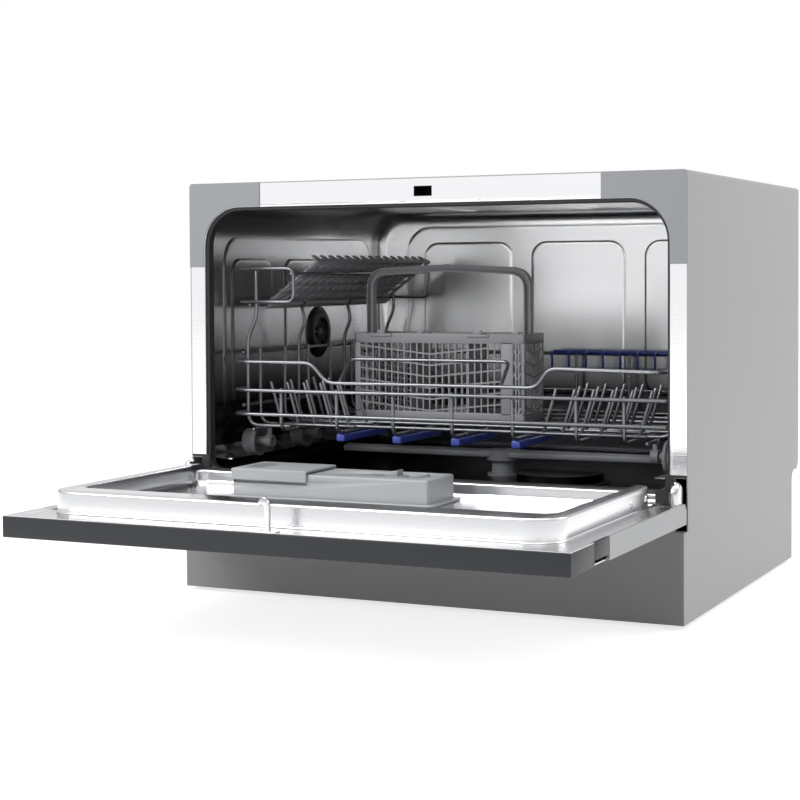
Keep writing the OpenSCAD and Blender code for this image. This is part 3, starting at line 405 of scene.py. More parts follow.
def opening_loop(bm, inside, y, steps=10):
    """The frame's opening as a ring of corners, shrunk by inside."""
    ring = []
    for cx, cz, start, corner in ((open_x, open_high, 0, open_r), (-open_x, open_high, 90, open_r),
                                  (-open_x, open_low, 180, low_r), (open_x, open_low, 270, low_r)):
        side_x, side_z = (1 if cx > 0 else -1), (1 if start < 180 else -1)
        for i in range(steps + 1):
            turn = radians(start + 90 * i / steps)
            ring.append(bm.verts.new(at(cx - side_x * corner + (corner - inside) * cos(turn), y,
                                        cz - side_z * corner + (corner - inside) * sin(turn))))
    return ring


def skin(bm, rings):
    """Closes each ring to the next one with a band of four-sided faces."""
    for a, b in zip(rings, rings[1:]):
        for i in range(len(a)):
            bm.faces.new((a[i - 1], a[i], b[i], b[i - 1]))


def rolled(name, profile, material, node=None):
    """A rim that follows the opening: a profile of (inside, y) points, each a ring."""
    bm = bmesh.new()
    skin(bm, [opening_loop(bm, inside, y) for inside, y in profile])
    bmesh.ops.recalc_face_normals(bm, faces=bm.faces)
    finished(name, bm, material, "cabinet", node, angle=50)


rolled("frame_lip", [(-2.2, 0.99), (-1.6, 0.9), (-0.8, 0.86), (0, 1.1), (0.45, 1.9), (0.5, 3), (0.5, 11.9), (0, 11.9)],
       frame_steel)
rubber = finish("gasket_rubber", (0.016, 0.017, 0.018), 0.5, grain=(500, 500, 500), depth=0.2, drift_by=(0.2, 0.1))
rolled("gasket", [(0.6, 4.3), (2.2, 4.3), (3.4, 5), (4, 6.8), (3.8, 8.6), (2.8, 9.6), (2.8, 10.4), (3.9, 11.4),
                  (4, 13.6), (3.2, 15.4), (1.8, 15.9), (0.6, 15.9), (0.6, 4.3)], rubber, "door_gasket")


def box(bm, x, y, z, soft=0.0, steps=3, only=None):
    """A block between millimetre limits, its edges softened by a bevel."""
    low, high = at(min(x), min(y), min(z)), at(max(x), max(y), max(z))
    part = block((high - low) * 1000, (low + high) * 500)
    if soft:
        soften(part, [edge for edge in part.edges if only is None or only(edge.verts[0].co - edge.verts[1].co)], soft,
               steps)
    add_mesh(bm, part)


surround = bmesh.new()
for side in (-1, 1):
    for x, z in (((243, 262.2), (98, 131.4)), ((252.9, 262.2), (131, 146)), ((262, 273.8), (143.2, 146))):
        box(surround, (side * x[0], side * x[1]), (0.35, 0.85), z)
finished("hinge_surrounds", surround, rubber, "cabinet")

# ---- Vent in the tub's left wall: a black moulded ring with a domed edge round a spoked grille.
vent_plastic = finish("vent_plastic", (0.012, 0.012, 0.013), 0.42, grain=(400, 400, 400), depth=0.15)
vent_spot = (-tub_x, 270, 270)
vent = bmesh.new()
turned(vent, [(0, 2), (17, 2), (17, 8.5), (18, 9), (22, 8.8), (27, 7.6), (31, 4.5), (32, 1.5), (32, 0)], vent_spot, "X")
turned(vent, [(0, 7), (4, 6.8), (5, 5.6), (5, 2)], vent_spot, "X", 24)
for i in range(8):
    add_mesh(vent, block((4, 1.6, 14.5), (4.5, 0, 10.5)),
             Matrix.Translation(at(*vent_spot)) @ Matrix.Rotation(i * pi / 4, 4, "X"))
finished("vent", vent, vent_plastic, "cabinet", "breather")

# ---- Rails, filter and spray arm: steel runners at the tub's sides, and grey mouldings on its floor.
# The arm is a pair of shallow tapering blades on a hub that turns on its post; the filter cup lifts out.
dress(steel, "rack_rails", "filter_plate")
arm_plastic = finish("arm_plastic", (0.3, 0.31, 0.325), 0.4, **MOULDED, drift_by=(0.05, 0.06))
dress(arm_plastic, "spray_post", "filter_cup")
arm_l, arm_top = 198, 133.8
spray = bmesh.new()
for side in (0, pi):
    arm = bmesh.new()
    bmesh.ops.create_grid(arm, x_segments=8, y_segments=2, size=0.5)
    for vert in arm.verts:
        along = vert.co.x + 0.5
        width = 36 - 14 * along if along > 0.1 else 34
        vert.co = Vector((along * arm_l, vert.co.y * width, arm_top - 3 * abs(vert.co.y))) / 1000
    bmesh.ops.solidify(arm, geom=arm.faces, thickness=-0.007)
    soften(arm, [edge for edge in arm.edges if edge.calc_face_angle(0) > 0.9], 2, 3)
    add_mesh(spray, arm, Matrix.Translation(at(0, post_y, 0)) @ Matrix.Rotation(side, 4, "Z"))
turned(spray, [(6.05, 128), (18.5, 128), (20, 129.5), (20, 138), (18, 140.6), (12, 141), (6.05, 141), (6.05, 128)],
       (0, post_y, 0))
finished("spray_arm_shell", spray, arm_plastic, "spray_arm", "spray_arm")

# ---- Door liner: bright steel drawn into a rim that the rack rolls on, round a shallow dish.
# The rim dips at its rear, between the rack's tracks; the sheet's rear edge is folded down between the hinges.
door_top, rim_top = 120, 140.5
# Half width, near end, far end and near corners' radius
rim_plan, dish_plan = (251.5, -304, -40, 30), (236, -268, -50, 14)
rear_r, rim_dip, dip_from = 14, 5.5, 122


def rim_loop(bm, grow, z, dish=False, steps=8):
    """A ring of corners along the rim's outside, or along the dish inside it, grown by a distance."""
    half, near, far, near_r = dish_plan if dish else rim_plan
    corner = [(half - rear_r + (rear_r + grow) * cos(turn), far - rear_r + (rear_r + grow) * sin(turn))
              for turn in (radians(90 * i / steps) for i in range(steps + 1))]
    # The far end: the part that keeps its height, then the part that dips with the rim
    if dish:
        level = [(half + grow, far - rear_r - 7 * (steps - i) / steps - 0.4) for i in range(steps + 1)]
        dipped = corner
    else:
        level = corner
        dipped = [(dish_plan[0] - rear_r * i / steps, far + grow) for i in range(steps + 1)]
    low = z - rim_dip * max(0, z - dip_from) / (rim_top - dip_from)
    points = [(x, y, z) for x, y in level] + [(x, y, low) for x, y in dipped]
    points += [(-x, y, height) for x, y, height in reversed(points)]
    for cx, start in ((near_r - half, 180), (half - near_r, 270)):
        for i in range(steps + 1):
            turn = radians(start + 90 * i / steps)
            points.append((cx + (near_r + grow) * cos(turn), near + near_r + (near_r + grow) * sin(turn), z))
    return [bm.verts.new(at(*point)) for point in points]


liner = bmesh.new()
loops = [rim_loop(liner, grow, z) for grow, z in (
    (1.6, 120), (0.9, 120.15), (0.3, 120.7), (0.05, 121.5), (0, 122.4), (0, 138.4), (-0.25, 139.4), (-0.8, 140.1),
    (-1.6, 140.45), (-2.6, rim_top))]
loops += [rim_loop(liner, grow, z, True) for grow, z in (
    (2.4, rim_top), (1.5, 140.4), (0.7, 140), (0.2, 139.3), (0, 138.4), (0, 127), (-0.4, 124.4), (-1.6, 122.4),
    (-3.6, 121.1), (-7, 120.5))]
skin(liner, loops)
liner.faces.new(loops[-1])
bmesh.ops.recalc_face_normals(liner, faces=liner.faces)
if max(liner.faces, key=lambda face: face.calc_area()).normal.z < 0:
    bmesh.ops.reverse_faces(liner, faces=liner.faces)
sheet = bmesh.new()
hole = rim_loop(sheet, 1.6, 120)
corners = [sheet.verts.new(at(x, y, door_top)) for x, y in (
    (-274.5, -336), (274.5, -336), (274.5, -277.3), (271.8, -277.3), (271.8, -26), (255.7, -26), (255.7, -10),
    (-255.7, -10), (-255.7, -26), (-271.8, -26), (-271.8, -277.3), (-274.5, -277.3))]
edges = [sheet.edges.new(pair) for chain in (hole, corners) for pair in zip(chain, chain[1:] + chain[:1])]
bmesh.ops.triangle_fill(sheet, use_beauty=True, use_dissolve=False, edges=edges, normal=(0, 0, 1))
bmesh.ops.solidify(sheet, geom=sheet.faces, thickness=0.0009)
add_mesh(liner, sheet)
fold = bmesh.new()
line = [fold.verts.new(at(-255.5, y, z)) for y, z in (
    (-10, door_top), (-7.5, 119.3), (-4.9, 116.7), (-4.2, 114), (-4.2, 101.4))]
edges = [fold.edges.new(pair) for pair in zip(line, line[1:])]
swept = bmesh.ops.extrude_edge_only(fold, edges=edges)
bmesh.ops.translate(fold, vec=(0.511, 0, 0), verts=[v for v in swept["geom"] if isinstance(v, bmesh.types.BMVert)])
bmesh.ops.recalc_face_normals(fold, faces=fold.faces)
bmesh.ops.solidify(fold, geom=fold.faces, thickness=0.0008)
add_mesh(liner, fold)
liner_steel = finish("liner_steel", (0.72, 0.725, 0.732), 0.2, 1.0, grain=BRUSHED, depth=0.05,
                     drift_by=(0.03, 0.06), spread=3)
finished("door_liner_sheet", liner, liner_steel, "door", "door_liner", angle=40)

# ---- Door skin: a flat steel outer sheet, light extrusions down both sides, and a dark moulded control panel.
# The panel holds a finger grip, a small window and four sprung buttons on its outer face.
skin_steel = finish("skin_steel", (0.55, 0.56, 0.57), 0.3, 1.0, grain=BRUSHED, depth=0.08, drift_by=(0.05, 0.1),
                    spread=3)
strip_metal = finish("strip_metal", (0.38, 0.385, 0.39), 0.45, 0.4, grain=(900, 12, 900), depth=0.07,
                     drift_by=(0.04, 0.08), spread=4)
dress(skin_steel, "door_outer_panel")
dress(strip_metal, "door_side_strips")
panel_plastic = finish("panel_plastic", (0.007, 0.009, 0.012), 0.48, grain=(520, 520, 520), depth=0.12,
                       drift_by=(0.06, 0.06))
window_glass = finish("window_glass", (0.008, 0.008, 0.01), 0.08, grain=(80, 80, 80), depth=0.01, drift_by=(0.02, 0.02),
                      coat=0.6)
dress(window_glass, "display_window")


def cut_out(piece, x, y, z, soft=0.0):
    """Cuts a slot with rounded corners down through a finished piece."""
    part = bmesh.new()
    box(part, x, y, z, soft, only=lambda v: abs(v.z) > abs(v.x) + abs(v.y))
    cut(piece, part)


button_x, button_y = [100 + 28 * i for i in range(4)], -308
panel_x, panel_low, panel_high, grip_x = 275, 100, 119.8, 60
panel = bmesh.new()
box(panel, (-panel_x, panel_x), (-337, -277), (panel_low, panel_high), 1.2, 3)
panel = finished("control_panel_moulding", panel, panel_plastic, "door", "control_panel", angle=30)
cut_out(panel, (3 - panel_x, panel_x - 3), (-334, -276), (102.6, 121))
cut_out(panel, (-grip_x, grip_x), (-330, -312), (98, 103), 6)
for x in button_x:
    drill(panel, 7.3, (x, button_y, 101), 6)
cut_out(panel, (224, 250), (-316, -300), (98, 104))
tabs = bmesh.new()
for side in (-1, 1):
    box(tabs, (side * 272.2, side * panel_x), (-277, -238.1), (105, panel_high), 0.5, 2)
finished("control_panel_tabs", tabs, panel_plastic, "door")
grip = bmesh.new()
box(grip, (-grip_x - 1.5, grip_x + 1.5), (-331.5, -310.5), (101.6, 114), 6, 4, only=lambda v: abs(v.z) > 0.005)
grip = finished("grip_cup", grip, panel_plastic, "door", angle=30)
cut_out(grip, (-grip_x, grip_x), (-330, -312), (100, 112.5), 5)
button_plastic = finish("button_plastic", (0.3, 0.31, 0.32), 0.34, grain=(420, 420, 420), depth=0.1)
for x, name in zip(button_x, ("button_power", "button_program", "button_delay", "button_start")):
    button = bmesh.new()
    turned(button, [(0, 99.6), (4.5, 99.3), (6.2, 98.9), (6.9, 99.4), (7, 100.2), (7, 102.8), (8.6, 102.8),
                    (8.6, 104.3), (2.5, 104.3), (2.5, 107.7), (0, 107.7)], (x, button_y, 0), steps=32)
    finished(name + "_cap", button, button_plastic, name, name)

# ---- Latch hook, hinge arms and rim screws: a stamped steel hook that enters the slot above the tub,
# and chromed arms that stand up beside the rim and swing into the frame's side slots.
chrome = finish("chrome", (0.6, 0.6, 0.61), 0.14, 1.0, grain=(30, 30, 30), depth=0.015, drift_by=(0.02, 0.04))
stamped = finish("stamped_steel", (0.62, 0.62, 0.63), 0.22, 1.0, grain=(200, 200, 200), depth=0.06,
                 drift_by=(0.08, 0.1))


def slab(outline, push):
    """A flat outline of points made solid by a push in millimetres."""
    part = bmesh.new()
    part.faces.new([part.verts.new(point) for point in outline])
    grown = bmesh.ops.extrude_face_region(part, geom=part.faces[:])
    bmesh.ops.translate(part, vec=Vector(push) / 1000,
                        verts=[v for v in grown["geom"] if isinstance(v, bmesh.types.BMVert)])
    bmesh.ops.recalc_face_normals(part, faces=part.faces)
    return part


hook = bmesh.new()
strap = slab([at(x, -333, z) for x, z in (
    (-2.5, 120.5), (2.5, 120.5), (2.5, 143), (1.9, 146), (0.2, 148.6), (-2.6, 149.9), (-5.4, 149.3), (-8, 146.2),
    (-8, 143.6), (-6.2, 142.4), (-4.6, 143.8), (-3.1, 143.4), (-2.5, 141.6))], (0, 4, 0))
soften(strap, [e for e in strap.edges if abs((e.verts[0].co - e.verts[1].co).y) < 0.001], 0.6, 2)
add_mesh(hook, strap)
box(hook, (-9, 9), (-333.9, -325), (119.9, 120.8), 0.3, 2)
finished("latch_hook_strap", hook, stamped, "door", "latch_hook")
arm_near, arm_far = 263.5, 272
pivot_y, pivot_h = -14, 107
arms = bmesh.new()
for side in (-1, 1):
    arm_x = (side * arm_near, side * arm_far)
    arm = bmesh.new()
    box(arm, arm_x, (-26, -2), (104, 141), 11.6, 12, only=lambda v: abs(v.x) > 0.001)
    soften(arm, [e for e in arm.edges if e.calc_face_angle(0) > 1.2], 4, 6)
    add_mesh(arms, arm)
    box(arms, arm_x, (-70, pivot_y), (101.4, 111.4), 0.5, 2)
    turned(arms, [(3.06, 0), (5.5, 0), (5.5, 8.5), (3.06, 8.5), (3.06, 0)], (arm_x[0], pivot_y, pivot_h),
           OUTWARD[side], 32)
finished("hinge_arm_plates", arms, chrome, "door", "hinge_arms")
screws = bmesh.new()
for side in (-1, 1):
    for y in (-104, -58):
        turned(screws, [(0, 0.35), (1.1, 0.35), (1.4, 1.05), (2.8, 0.95), (3.5, 0.3), (3.5, 0)],
               (side * (rim_plan[0] - 0.3), y, 129.25), OUTWARD[side], 24)
finished("rim_screw_heads", screws, bright_screw, "door", "rim_screws")

# ---- Dispenser: a grey moulding sealed into the liner, with a sliding lid over the detergent cup,
# a wedge that lets it go, and a twist cap over the rinse-aid tank.
dispenser_plastic = finish("dispenser_plastic", (0.39, 0.402, 0.415), 0.4, **MOULDED, drift_by=(0.05, 0.06))
cap_x, cap_y = 42, -105
tank = bmesh.new()
box(tank, (-145, 65), (-138, -74), (121, 146.5), 2.2, 4)
tank = finished("dispenser_moulding", tank, dispenser_plastic, "door", "dispenser_body", angle=30)
cut_out(tank, (-139, -68), (-133, -80), (126, 148), 5)
cut_out(tank, (-144, -63), (-139, -134.6), (135.8, 139.4))
drill(tank, 10.3, (cap_x, cap_y, 143.35), 9.3)
cut_out(tank, (7.7, 22.3), (-112.3, -97.7), (138.7, 148))
flange = bmesh.new()
box(flange, (-150, 70), (-143, -69), (120.6, 123.4), 1.2, 3)
finished("dispenser_flange", flange, dispenser_plastic, "door")
lid = bmesh.new()
box(lid, (-145, -62), (-141, -74), (147.1, 150), 1.3, 4)
box(lid, (-145, -62), (-141, -138.5), (139, 149), 0.8, 3)
for i in range(5):
    box(lid, (-136 + 4 * i, -134.4 + 4 * i), (-126, -88), (149.9, 150), 0)
finished("detergent_lid_shell", lid, dispenser_plastic, "detergent_lid", "detergent_lid", weld=False)
cap = bmesh.new()
turned(cap, [(0, 147.6), (6, 147.6), (7.2, 148.4), (9, 148.7), (9.8, 148.2), (10, 147.2), (10, 139), (0, 139)],
       (cap_x, cap_y, 0))
box(cap, (cap_x - 9, cap_x + 9), (cap_y - 1, cap_y + 1), (147.5, 149.7), 0.6, 3)
finished("rinse_aid_knob", cap, dispenser_plastic, "rinse_aid_cap", "rinse_aid_cap", weld=False)
wedge = slab([at(x, -112, z) for x, z in ((8, 141.7), (22, 141.7), (22, 151.7), (8, 148.2))], (0, 14, 0))
soften(wedge, wedge.edges[:], 0.8, 3)
finished("lid_release_wedge", wedge, dispenser_plastic, "lid_release", "lid_release")

# ---- Rack wires: round steel rod, bent cold, spot-welded where it crosses, and dipped in grey nylon.
# Long wires run under the floor hoops; rings close the front, and the left side stands higher for the cup shelf.
coating = finish("wire_coating", (0.22, 0.225, 0.235), 0.28, 0.75, grain=(600, 600, 600), depth=0.1,
                 drift_by=(0.08, 0.08), coat=0.25, spread=30)
front, back = 35, 435


def soft_bends(points, radius, steps=4):
    """The same run with each corner rounded."""
    points = [Vector(point) for point in points]
    path = [points[0]]
    for before, corner, after in zip(points, points[1:], points[2:]):
        near = corner + (before - corner).normalized() * min(radius, (before - corner).length * 0.45)
        far = corner + (after - corner).normalized() * min(radius, (after - corner).length * 0.45)
        for i in range(steps + 1):
            t = i / steps
            path.append(near * (1 - t) ** 2 + corner * 2 * t * (1 - t) + far * t ** 2)
    return path + [points[-1]]


def wires(name, runs, diameter, node=None, bend=8, material=coating):
    """Round rods of the rack along runs of millimetre points, their ends rounded off, as one piece."""
    curve = bpy.data.curves.new(name, "CURVE")
    curve.dimensions = "3D"
    curve.bevel_depth = diameter / 2000
    curve.bevel_resolution = 3
    curve.use_fill_caps = True
    for run in runs:
        path = soft_bends(run, bend)
        first, last = ((path[end] - path[inner]).normalized() * diameter for end, inner in ((0, 1), (-1, -2)))
        path = ([path[0], path[0] - first * 0.08, path[0] - first * 0.3] + path[1:-1]
                + [path[-1] - last * 0.3, path[-1] - last * 0.08, path[-1]])
        thick = [0.3, 0.8] + [1] * (len(path) - 4) + [0.8, 0.3]
        spline = curve.splines.new("POLY")
        spline.points.add(len(path) - 1)
        for point, place, width in zip(spline.points, path, thick):
            point.co = (*at(*place), 1)
            point.radius = width
    rod = bpy.data.objects.new(name, curve)
    bpy.context.scene.collection.objects.link(rod)
    mesh = bpy.data.meshes.new_from_object(rod.evaluated_get(bpy.context.evaluated_depsgraph_get()))
    bpy.data.objects.remove(rod)
    bm = bmesh.new()
    bm.from_mesh(mesh)
    bpy.data.meshes.remove(mesh)
    finished(name, bm, material, "rack", node, angle=50)


side, hoop, edge, hoop_low = 239.5, 236, 245, 181
top, dip, mid, low, floor_z, long_z = 245, 224, 214, 188, 174, 170.5
rod, tine_rod, comb_rod, tine_pitch, tine_h = 4, 3.5, 3, 20.5, 47
bar_x = (-118, -52, 15, 82)


def folded_end(z):
    """A ring's left end, bent from the side round to the front."""
    return [(-hoop - 1, front + 22, z + 1), (-edge, front + 7, z), (-edge + 14, front, z)]


wires("rack_ring_rods", [
    folded_end(top) + [(-147, front, top), (-128, front, dip), (109, front, dip), (122, front, top - 1),
                       (side - 4, front, top - 3), (side, front + 5, top - 3), (side, back, 240), (-side, back, 240)],
    folded_end(mid) + [(edge, front, mid)], folded_end(low) + [(edge, front, low)],
    [(side, front + 16, 196), (side, back, 196), (-side, back, 196), (-side, front + 16, 196)],
    [(-side, front + 16, 254), (-side, back, 254), (-side, back, 196)],
    [(-113, front, dip), (-118, front + 38, top + 3), (66, front + 38, top + 3), (70, front, dip)]],
    rod, "rack_rings", bend=9)
wires("rack_hoop_rods", [
    [(-hoop, y, 258), (-hoop, y, hoop_low), (7 - hoop, y, floor_z), (hoop - 7, y, floor_z), (hoop, y, hoop_low),
     (hoop, y, top + 1)] for y in range(front + 50, 380, 58)], rod, "rack_hoops")
wires("rack_long_rods", [
    [(x, front + 3.5, mid + 3), (x, front + 3.5, long_z + 6), (x, front + 9.5, long_z), (x, back - 9.5, long_z),
     (x, back - 3.5, long_z + 6), (x, back - 3.5, 243)] for x in (-185, *bar_x, 150, 200)]
    + [[(x, front + 7.5, long_z), (x, back - 7.5, long_z)] for x in (-222, 222)], rod, "rack_long_wires")


def tine_rows(name, rows, lean, node):
    """Rows of leaning rods on a bar: (row's y, first x, count)."""
    runs = []
    for y, first, count in rows:
        runs.append([(first - 8, y, floor_z), (first + (count - 1) * tine_pitch + 8, y, floor_z)])
        runs += [[(x, y, floor_z), (x + lean, y, floor_z + tine_h)]
                 for x in (first + tine_pitch * i for i in range(count))]
    wires(name, runs, tine_rod, node)


tine_rows("right_tine_rods", [(81, 100, 6), (127, 110.25, 5), (183, 100, 6)], 14, "tines_right")
tine_rows("left_tine_rods", [(81, -206.6, 5), (127, -206.6, 5), (183, -206.6, 2)], -14, "tines_left")

pivot_x, pivot_z, loop_x = -232, 306.5, -177
rest_x, rest_z = -180.5, 340.55
ends = (front + 18.5, 420.5)


def leg(y, *tops):
    """A rod of the shelf's stand from the rack's floor up its left side, then through (x, height) points."""
    return [(-183, y, floor_z), (7 - hoop, y, floor_z), (-hoop, y, hoop_low)] + [(x, y, pivot_z + h) for x, h in tops]


stand = [leg(y, (-hoop, -36), (11 - hoop, -14), (11 - hoop, 40)) for y in (front + 22, 417)]
stand += [leg(y, (-hoop, -40), (9 - hoop, -22), (pivot_x, -2)) for y in (177, 297)]
loop = ((2 - edge, 40), (loop_x, 40), (loop_x, 3.5), (2 - edge, 3.5))
stand += [[(x, y, pivot_z + h) for x, h in loop] for y in ends]
stand += [[(x, y, z) for y in ends] for x, z in ((pivot_x, pivot_z), (rest_x, rest_z))]
wires("shelf_frame_rods", stand, rod, "shelf_frame", bend=9)

# ---- Blue inserts: a comb clipped on the rear wires for glass stems, and bars under the floor wires.
# Both are glossy polypropylene, moulded in one shade.
blue_plastic = finish("blue_plastic", (0.05, 0.08, 0.42), 0.3, grain=(420, 420, 420), depth=0.1, drift_by=(0.08, 0.06),
                      coat=0.2)
comb = bmesh.new()
box(comb, (-15, 205), (428.5, 433.2), (239.2, 245), 1.4, 3)
box(comb, (-15, 205), (428.5, 433.2), (218.2, 222), 1.2, 3)
for x in (30, 95, 160):
    box(comb, (x, x + 12), (427, 429), (240.5, 243.8), 0.8, 2)
finished("comb_bars", comb, blue_plastic, "rack", "comb_holder", weld=False)
wires("comb_loops", [
    [(x, 431, 243), (x, 420, 241.5), (x + 2, 417.2, 234), (x + 2, 417.2, 228), (x, 421, 221), (x, 431, 220)]
    for x in (21.7 * i - 13.4 for i in range(11))], comb_rod, bend=6, material=blue_plastic)
supports = bmesh.new()
for x in bar_x:
    box(supports, (x - 5, x + 5), (front + 12, front + 122), (160.5, 168.6), 1.6, 3)
    for i in range(6):
        box(supports, (x - 5, x - 4.2), (front + 20 + 17 * i, front + 28 + 17 * i), (162, 167.4), 0.3, 1)
finished("floor_support_bars", supports, blue_plastic, "rack", "floor_supports", weld=False)

# ---- Wheels: grey flanged mouldings that turn on the stubs of clips pushed onto the lowest wires.
# A drum rolls on the rail and on the rim, a flange beside it keeps to the track, and both ends are open cups.
wheel_plastic = finish("wheel_plastic", (0.26, 0.265, 0.275), 0.42, grain=(420, 420, 420), depth=0.16,
                       drift_by=(0.05, 0.06))
wheel_z, wheel_pitch, spokes = 154.9, 114, 7
clip_x, stub_x, wheel_x, spoke_x = 216, 222, 225, 240
wheel_y = [front + 42 + wheel_pitch * i for i in range(4)]
clips = bmesh.new()
for hand in (-1, 1):
    for y in wheel_y:
        turned(clips, [(0, 3), (4, 3), (4.3, 0.3), (6.6, 0), (7.2, 0.6), (7.2, 8.4), (0, 8.4)],
               (hand * clip_x, y, wheel_z), OUTWARD[hand], 32)
        box(clips, (hand * 218, hand * 223), (y - 2.2, y + 2.2), (160, 169.5), 1, 2)
        box(clips, (hand * 219, hand * wheel_x), (y - 4, y + 4), (168, 172.4), 1.4, 2)
        turned(clips, [(0, 0), (2.5, 0), (2.5, 14.6), (1.8, 15), (0, 15)],
               (hand * stub_x, y, wheel_z), OUTWARD[hand], 24)
finished("wheel_clip_blocks", clips, wheel_plastic, "rack", "wheel_clips", weld=False)
for number, y in enumerate(wheel_y, 1):
    pair = bmesh.new()
    for hand in (-1, 1):
        turned(pair, [(2.56, 0), (4.6, 0), (4.95, 0.4), (4.95, 14.5), (12, 14.5), (12.3, 7.2), (12.9, 6.6), (15.8, 6.5),
                      (16.5, 7.1), (16.5, 9.3), (15.9, 10), (14.1, 10.1), (13.5, 10.6), (13.5, 23.2), (12.9, 23.9),
                      (12, 24), (11.5, 23.5), (11.3, 15.5), (4.3, 15.5), (4.1, 23.5), (3.4, 24), (0, 24)],
               (hand * wheel_x, y, wheel_z), OUTWARD[hand])
        for i in range(spokes):
            add_mesh(pair, block((4.4, 1.6, 7.8), (hand * 6.2, 0, 7.7)),
                     Matrix.Translation(at(hand * spoke_x, y, wheel_z))
                     @ Matrix.Rotation(i * 2 * pi / spokes, 4, "X"))
    finished(f"wheel_pair_{number}", pair, wheel_plastic, f"wheels_{number}", f"wheels_{number}",
             weld=False)

# ---- Cup shelf: one pierced grey moulding that hangs on the outer rod and rests on the inner one.
# Rows of slanted bars carry small teeth, and taller fins stand along its upper edge.
shelf_plastic = finish("shelf_plastic", (0.33, 0.335, 0.345), 0.4, **MOULDED, drift_by=(0.05, 0.06))
shelf_near, shelf_far, shelf_tilt = 93, 405, 37
slats, slat_pitch, fin_pitch = 15, 19.6, 20.6
bars = (9, 23, 37, 51, 65)
slope = Matrix.Translation(Vector((pivot_x, -FRONT, pivot_z)) / 1000) @ Matrix.Rotation(-radians(shelf_tilt), 4, "Y")
shelf = bmesh.new()


def plank(bm, x, y, z, slant=0.0, soft=0.0):
    """A bar in the shelf's own slope: x up the slope and z off its face, with its far end shifted along the slope."""
    part = block([far - near for near, far in (x, y, z)], [(near + far) / 2 for near, far in (x, y, z)])
    for vert in part.verts:
        vert.co.y += slant * (vert.co.x - x[0] / 1000) / (x[1] - x[0])
    if soft:
        soften(part, part.edges[:], soft, 2)
    add_mesh(bm, part, slope)


for x in (*bars, 78.4):
    plank(shelf, (x - 1.5, x + 1.5), (shelf_near, shelf_far), (-1.5, 1.5), soft=0.5)
    plank(shelf, (x - 0.7, x + 0.7), (shelf_near, shelf_far), (1.2, 3.2))
for y in (shelf_near + 1.5, shelf_far - 1.5):
    plank(shelf, (9, 79), (y - 1.5, y + 1.5), (-1.5, 1.5), soft=0.5)
for x in bars:
    for i in range(slats):
        y = shelf_near + 5 + i * slat_pitch
        plank(shelf, (x, x + 14), (y, y + 4), (-1.4, 1.3), slant=12)
        tooth = bmesh.new()
        bmesh.ops.create_cone(tooth, cap_ends=True, segments=3, radius1=0.0052, radius2=0.0004, depth=0.0048)
        add_mesh(shelf, tooth, slope @ Matrix.Translation(Vector((x + 4, y + 9, 3.4)) / 1000)
                 @ Matrix.Rotation(0.6, 4, "Z"))
for i in range(slats):
    y = shelf_near + 4 + i * fin_pitch
    fin = slab([Vector(point) / 1000 for point in ((77, y + 15, 1), (77, y, 1), (77, y - 3.5, 9), (77, y + 2.5, 7.6))],
               (2.4, 0, 0))
    add_mesh(shelf, fin, slope)
for near, far in ((shelf_near, 171), (183, 291), (303, shelf_far)):
    long = far - near
    turned(shelf, [(2.35, 0), (4.6, 0), (5, 0.6), (5, long - 0.6), (4.6, long), (2.35, long), (2.35, 0)],
           (pivot_x, near, pivot_z), "Y", 32)
    plank(shelf, (3.5, 9), (near, far), (-1.5, 1.5))
finished("cup_shelf_moulding", shelf, shelf_plastic, "cup_shelf", "cup_shelf", weld=False)

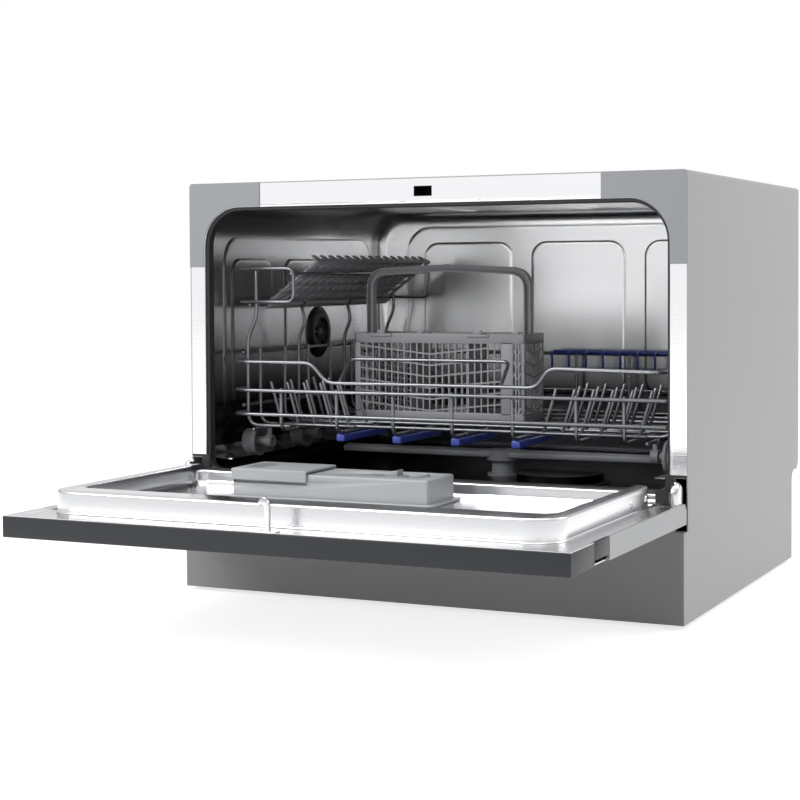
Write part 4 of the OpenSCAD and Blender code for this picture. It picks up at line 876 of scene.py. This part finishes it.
# ---- Cutlery basket: a light grey moulding with three cells, lattice sides and a bowed carrying handle.
# The lattice is upright bars crossed by shallow chevrons; small catches on the rim hold the handle.
basket_plastic = finish("basket_plastic", (0.36, 0.365, 0.375), 0.42, **MOULDED, drift_by=(0.04, 0.06))
basket = bmesh.new()
bx, by, bottom, brim = (-155, 50), (160, 220), 176.3, 273.3
wall, chevron_rows, chevron_pitch = 2, 6, 12.6
foot_band, brim_band, posts = (bottom, bottom + 10), (brim - 11, brim), (bottom + 8, brim - 9)
uprights = (bottom + 9, brim - 10)
box(basket, bx, by, (bottom, bottom + 2.2), 0.8, 2)
for y in (by[0], by[1] - wall):
    across = (y, y + wall)
    box(basket, bx, across, foot_band, 0.6, 2)
    box(basket, bx, across, brim_band, 0.6, 2)
    for x in ((-155, -148), (22, 36), (46, 50)):
        box(basket, x, across, posts, 0.5, 2)
    for x0, x1, drop in ((-148, 22, 9), (36, 46, 5)):
        middle, half = (x0 + x1) / 2, (x1 - x0) / 2
        count = max(3, round((x1 - x0) / 7.6))
        for i in range(1, count):
            x = x0 + (x1 - x0) * i / count
            box(basket, (x - 0.8, x + 0.8), (y + 0.2, y + 1.6), uprights)
        for i in range(chevron_rows):
            z = bottom + 11 + chevron_pitch * i + drop / 2
            for hand in (-1, 1):
                add_mesh(basket, block((hypot(half, drop), 1.7, 1.8)),
                         Matrix.Translation(at(middle + hand * half / 2, y + 1, z))
                         @ Matrix.Rotation(-hand * drop / half, 4, "Y"))
for x in (bx[0], bx[1] - wall):
    across = (x, x + wall)
    box(basket, across, by, foot_band, 0.6, 2)
    box(basket, across, by, brim_band, 0.6, 2)
    for y in (by[0], by[1] - 5):
        box(basket, across, (y, y + 5), posts, 0.5, 2)
    for i in range(1, 7):
        y = by[0] + 5 + 50 * i / 7
        box(basket, (x + 0.3, x + 1.7), (y - 0.8, y + 0.8), uprights)
    for i in range(chevron_rows):
        for hand in (-1, 1):
            add_mesh(basket, block((1.6, hypot(25, 6), 1.8)),
                     Matrix.Translation(at(x + 1, 190 + hand * 12.5, bottom + 14 + chevron_pitch * i))
                     @ Matrix.Rotation(hand * 6 / 25, 4, "X"))
for i in (1, 2):
    x = bx[0] + i * (bx[1] - bx[0] - wall) / 3
    box(basket, (x, x + wall), (by[0] + 1.5, by[1] - 1.5), (bottom + 1, brim - 1), 0.5, 2)
for x in (-122, -5):
    box(basket, (x - 13, x + 13), (by[0] - 1.6, by[0] + 1), (brim - 4.2, brim - 0.6), 1, 2)
    box(basket, (x - 5, x + 5), (by[0] - 1.4, by[0] + 3), (brim - 1.2, brim + 4), 1, 2)
for x in (-75, 39):
    box(basket, (x - 4, x + 4), (by[0], by[0] + 4), (brim - 0.4, brim + 2.6), 0.8, 2)
for x in ((-153.5, -143), (38, 48.5)):
    box(basket, x, (185, 195), (brim - 20, brim - 5.5), 0.8, 2)
finished("cutlery_basket_lattice", basket, basket_plastic, "cutlery_basket", "cutlery_basket",
         weld=False)
handle = bmesh.new()
chains = []
for inset, y in ((0, 185), (1.2, 184.9), (1.4, 190), (6.4, 190), (6.6, 184.9), (8, 185), (8, 195), (0, 195)):
    left, right, shoulder = -152 + inset, 47 - inset, 345.5 - inset
    run = soft_bends([(left, y, 266), (left, y, shoulder), (-52, y, 350.3 - inset), (right, y, shoulder),
                      (right, y, 266)], 24 - inset, 8)
    chains.append([handle.verts.new(at(*point)) for point in run])
for here, there in zip(chains, chains[1:] + chains[:1]):
    for i in range(len(here) - 1):
        handle.faces.new((here[i], here[i + 1], there[i + 1], there[i]))
for end in (0, -1):
    handle.faces.new([chain[end] for chain in chains])
bmesh.ops.recalc_face_normals(handle, faces=handle.faces)
box(handle, (-57, -51), (189, 195.4), (345, 350.2), 0.8, 2)
finished("cutlery_basket_handle", handle, basket_plastic, "cutlery_basket", weld=False)

# ---- Studio floor: a plain pale sweep under the machine, lit up to white where nothing shades it.
pale = finish("pale_floor", (0.5, 0.5, 0.5), 0.7, grain=(20, 20, 20), depth=0, drift_by=(0, 0))
floor_glow, mirrored_glow = (0.73, 0.73, 0.73, 1), 1.25
nodes = pale.node_tree.nodes
glow, seen, either, both = (nodes.new("ShaderNode" + kind) for kind in ("Emission", "LightPath", "Math", "AddShader"))
either.operation = "MULTIPLY_ADD"
either.inputs[1].default_value = mirrored_glow
glow.inputs["Color"].default_value = floor_glow
for start, end in ((seen.outputs["Is Glossy Ray"], either.inputs[0]), (seen.outputs["Is Camera Ray"], either.inputs[2]),
                   (either.outputs[0], glow.inputs["Strength"]), (nodes["Principled BSDF"].outputs[0], both.inputs[0]),
                   (glow.outputs[0], both.inputs[1]), (both.outputs[0], nodes["Material Output"].inputs["Surface"])):
    link(start, end)
ground = bmesh.new()
bmesh.ops.create_grid(ground, x_segments=1, y_segments=1, size=6)
mesh = bpy.data.meshes.new("floor")
ground.to_mesh(mesh)
ground.free()
mesh.materials.append(pale)
floor = bpy.data.objects.new("floor", mesh)
bpy.context.scene.collection.objects.link(floor)
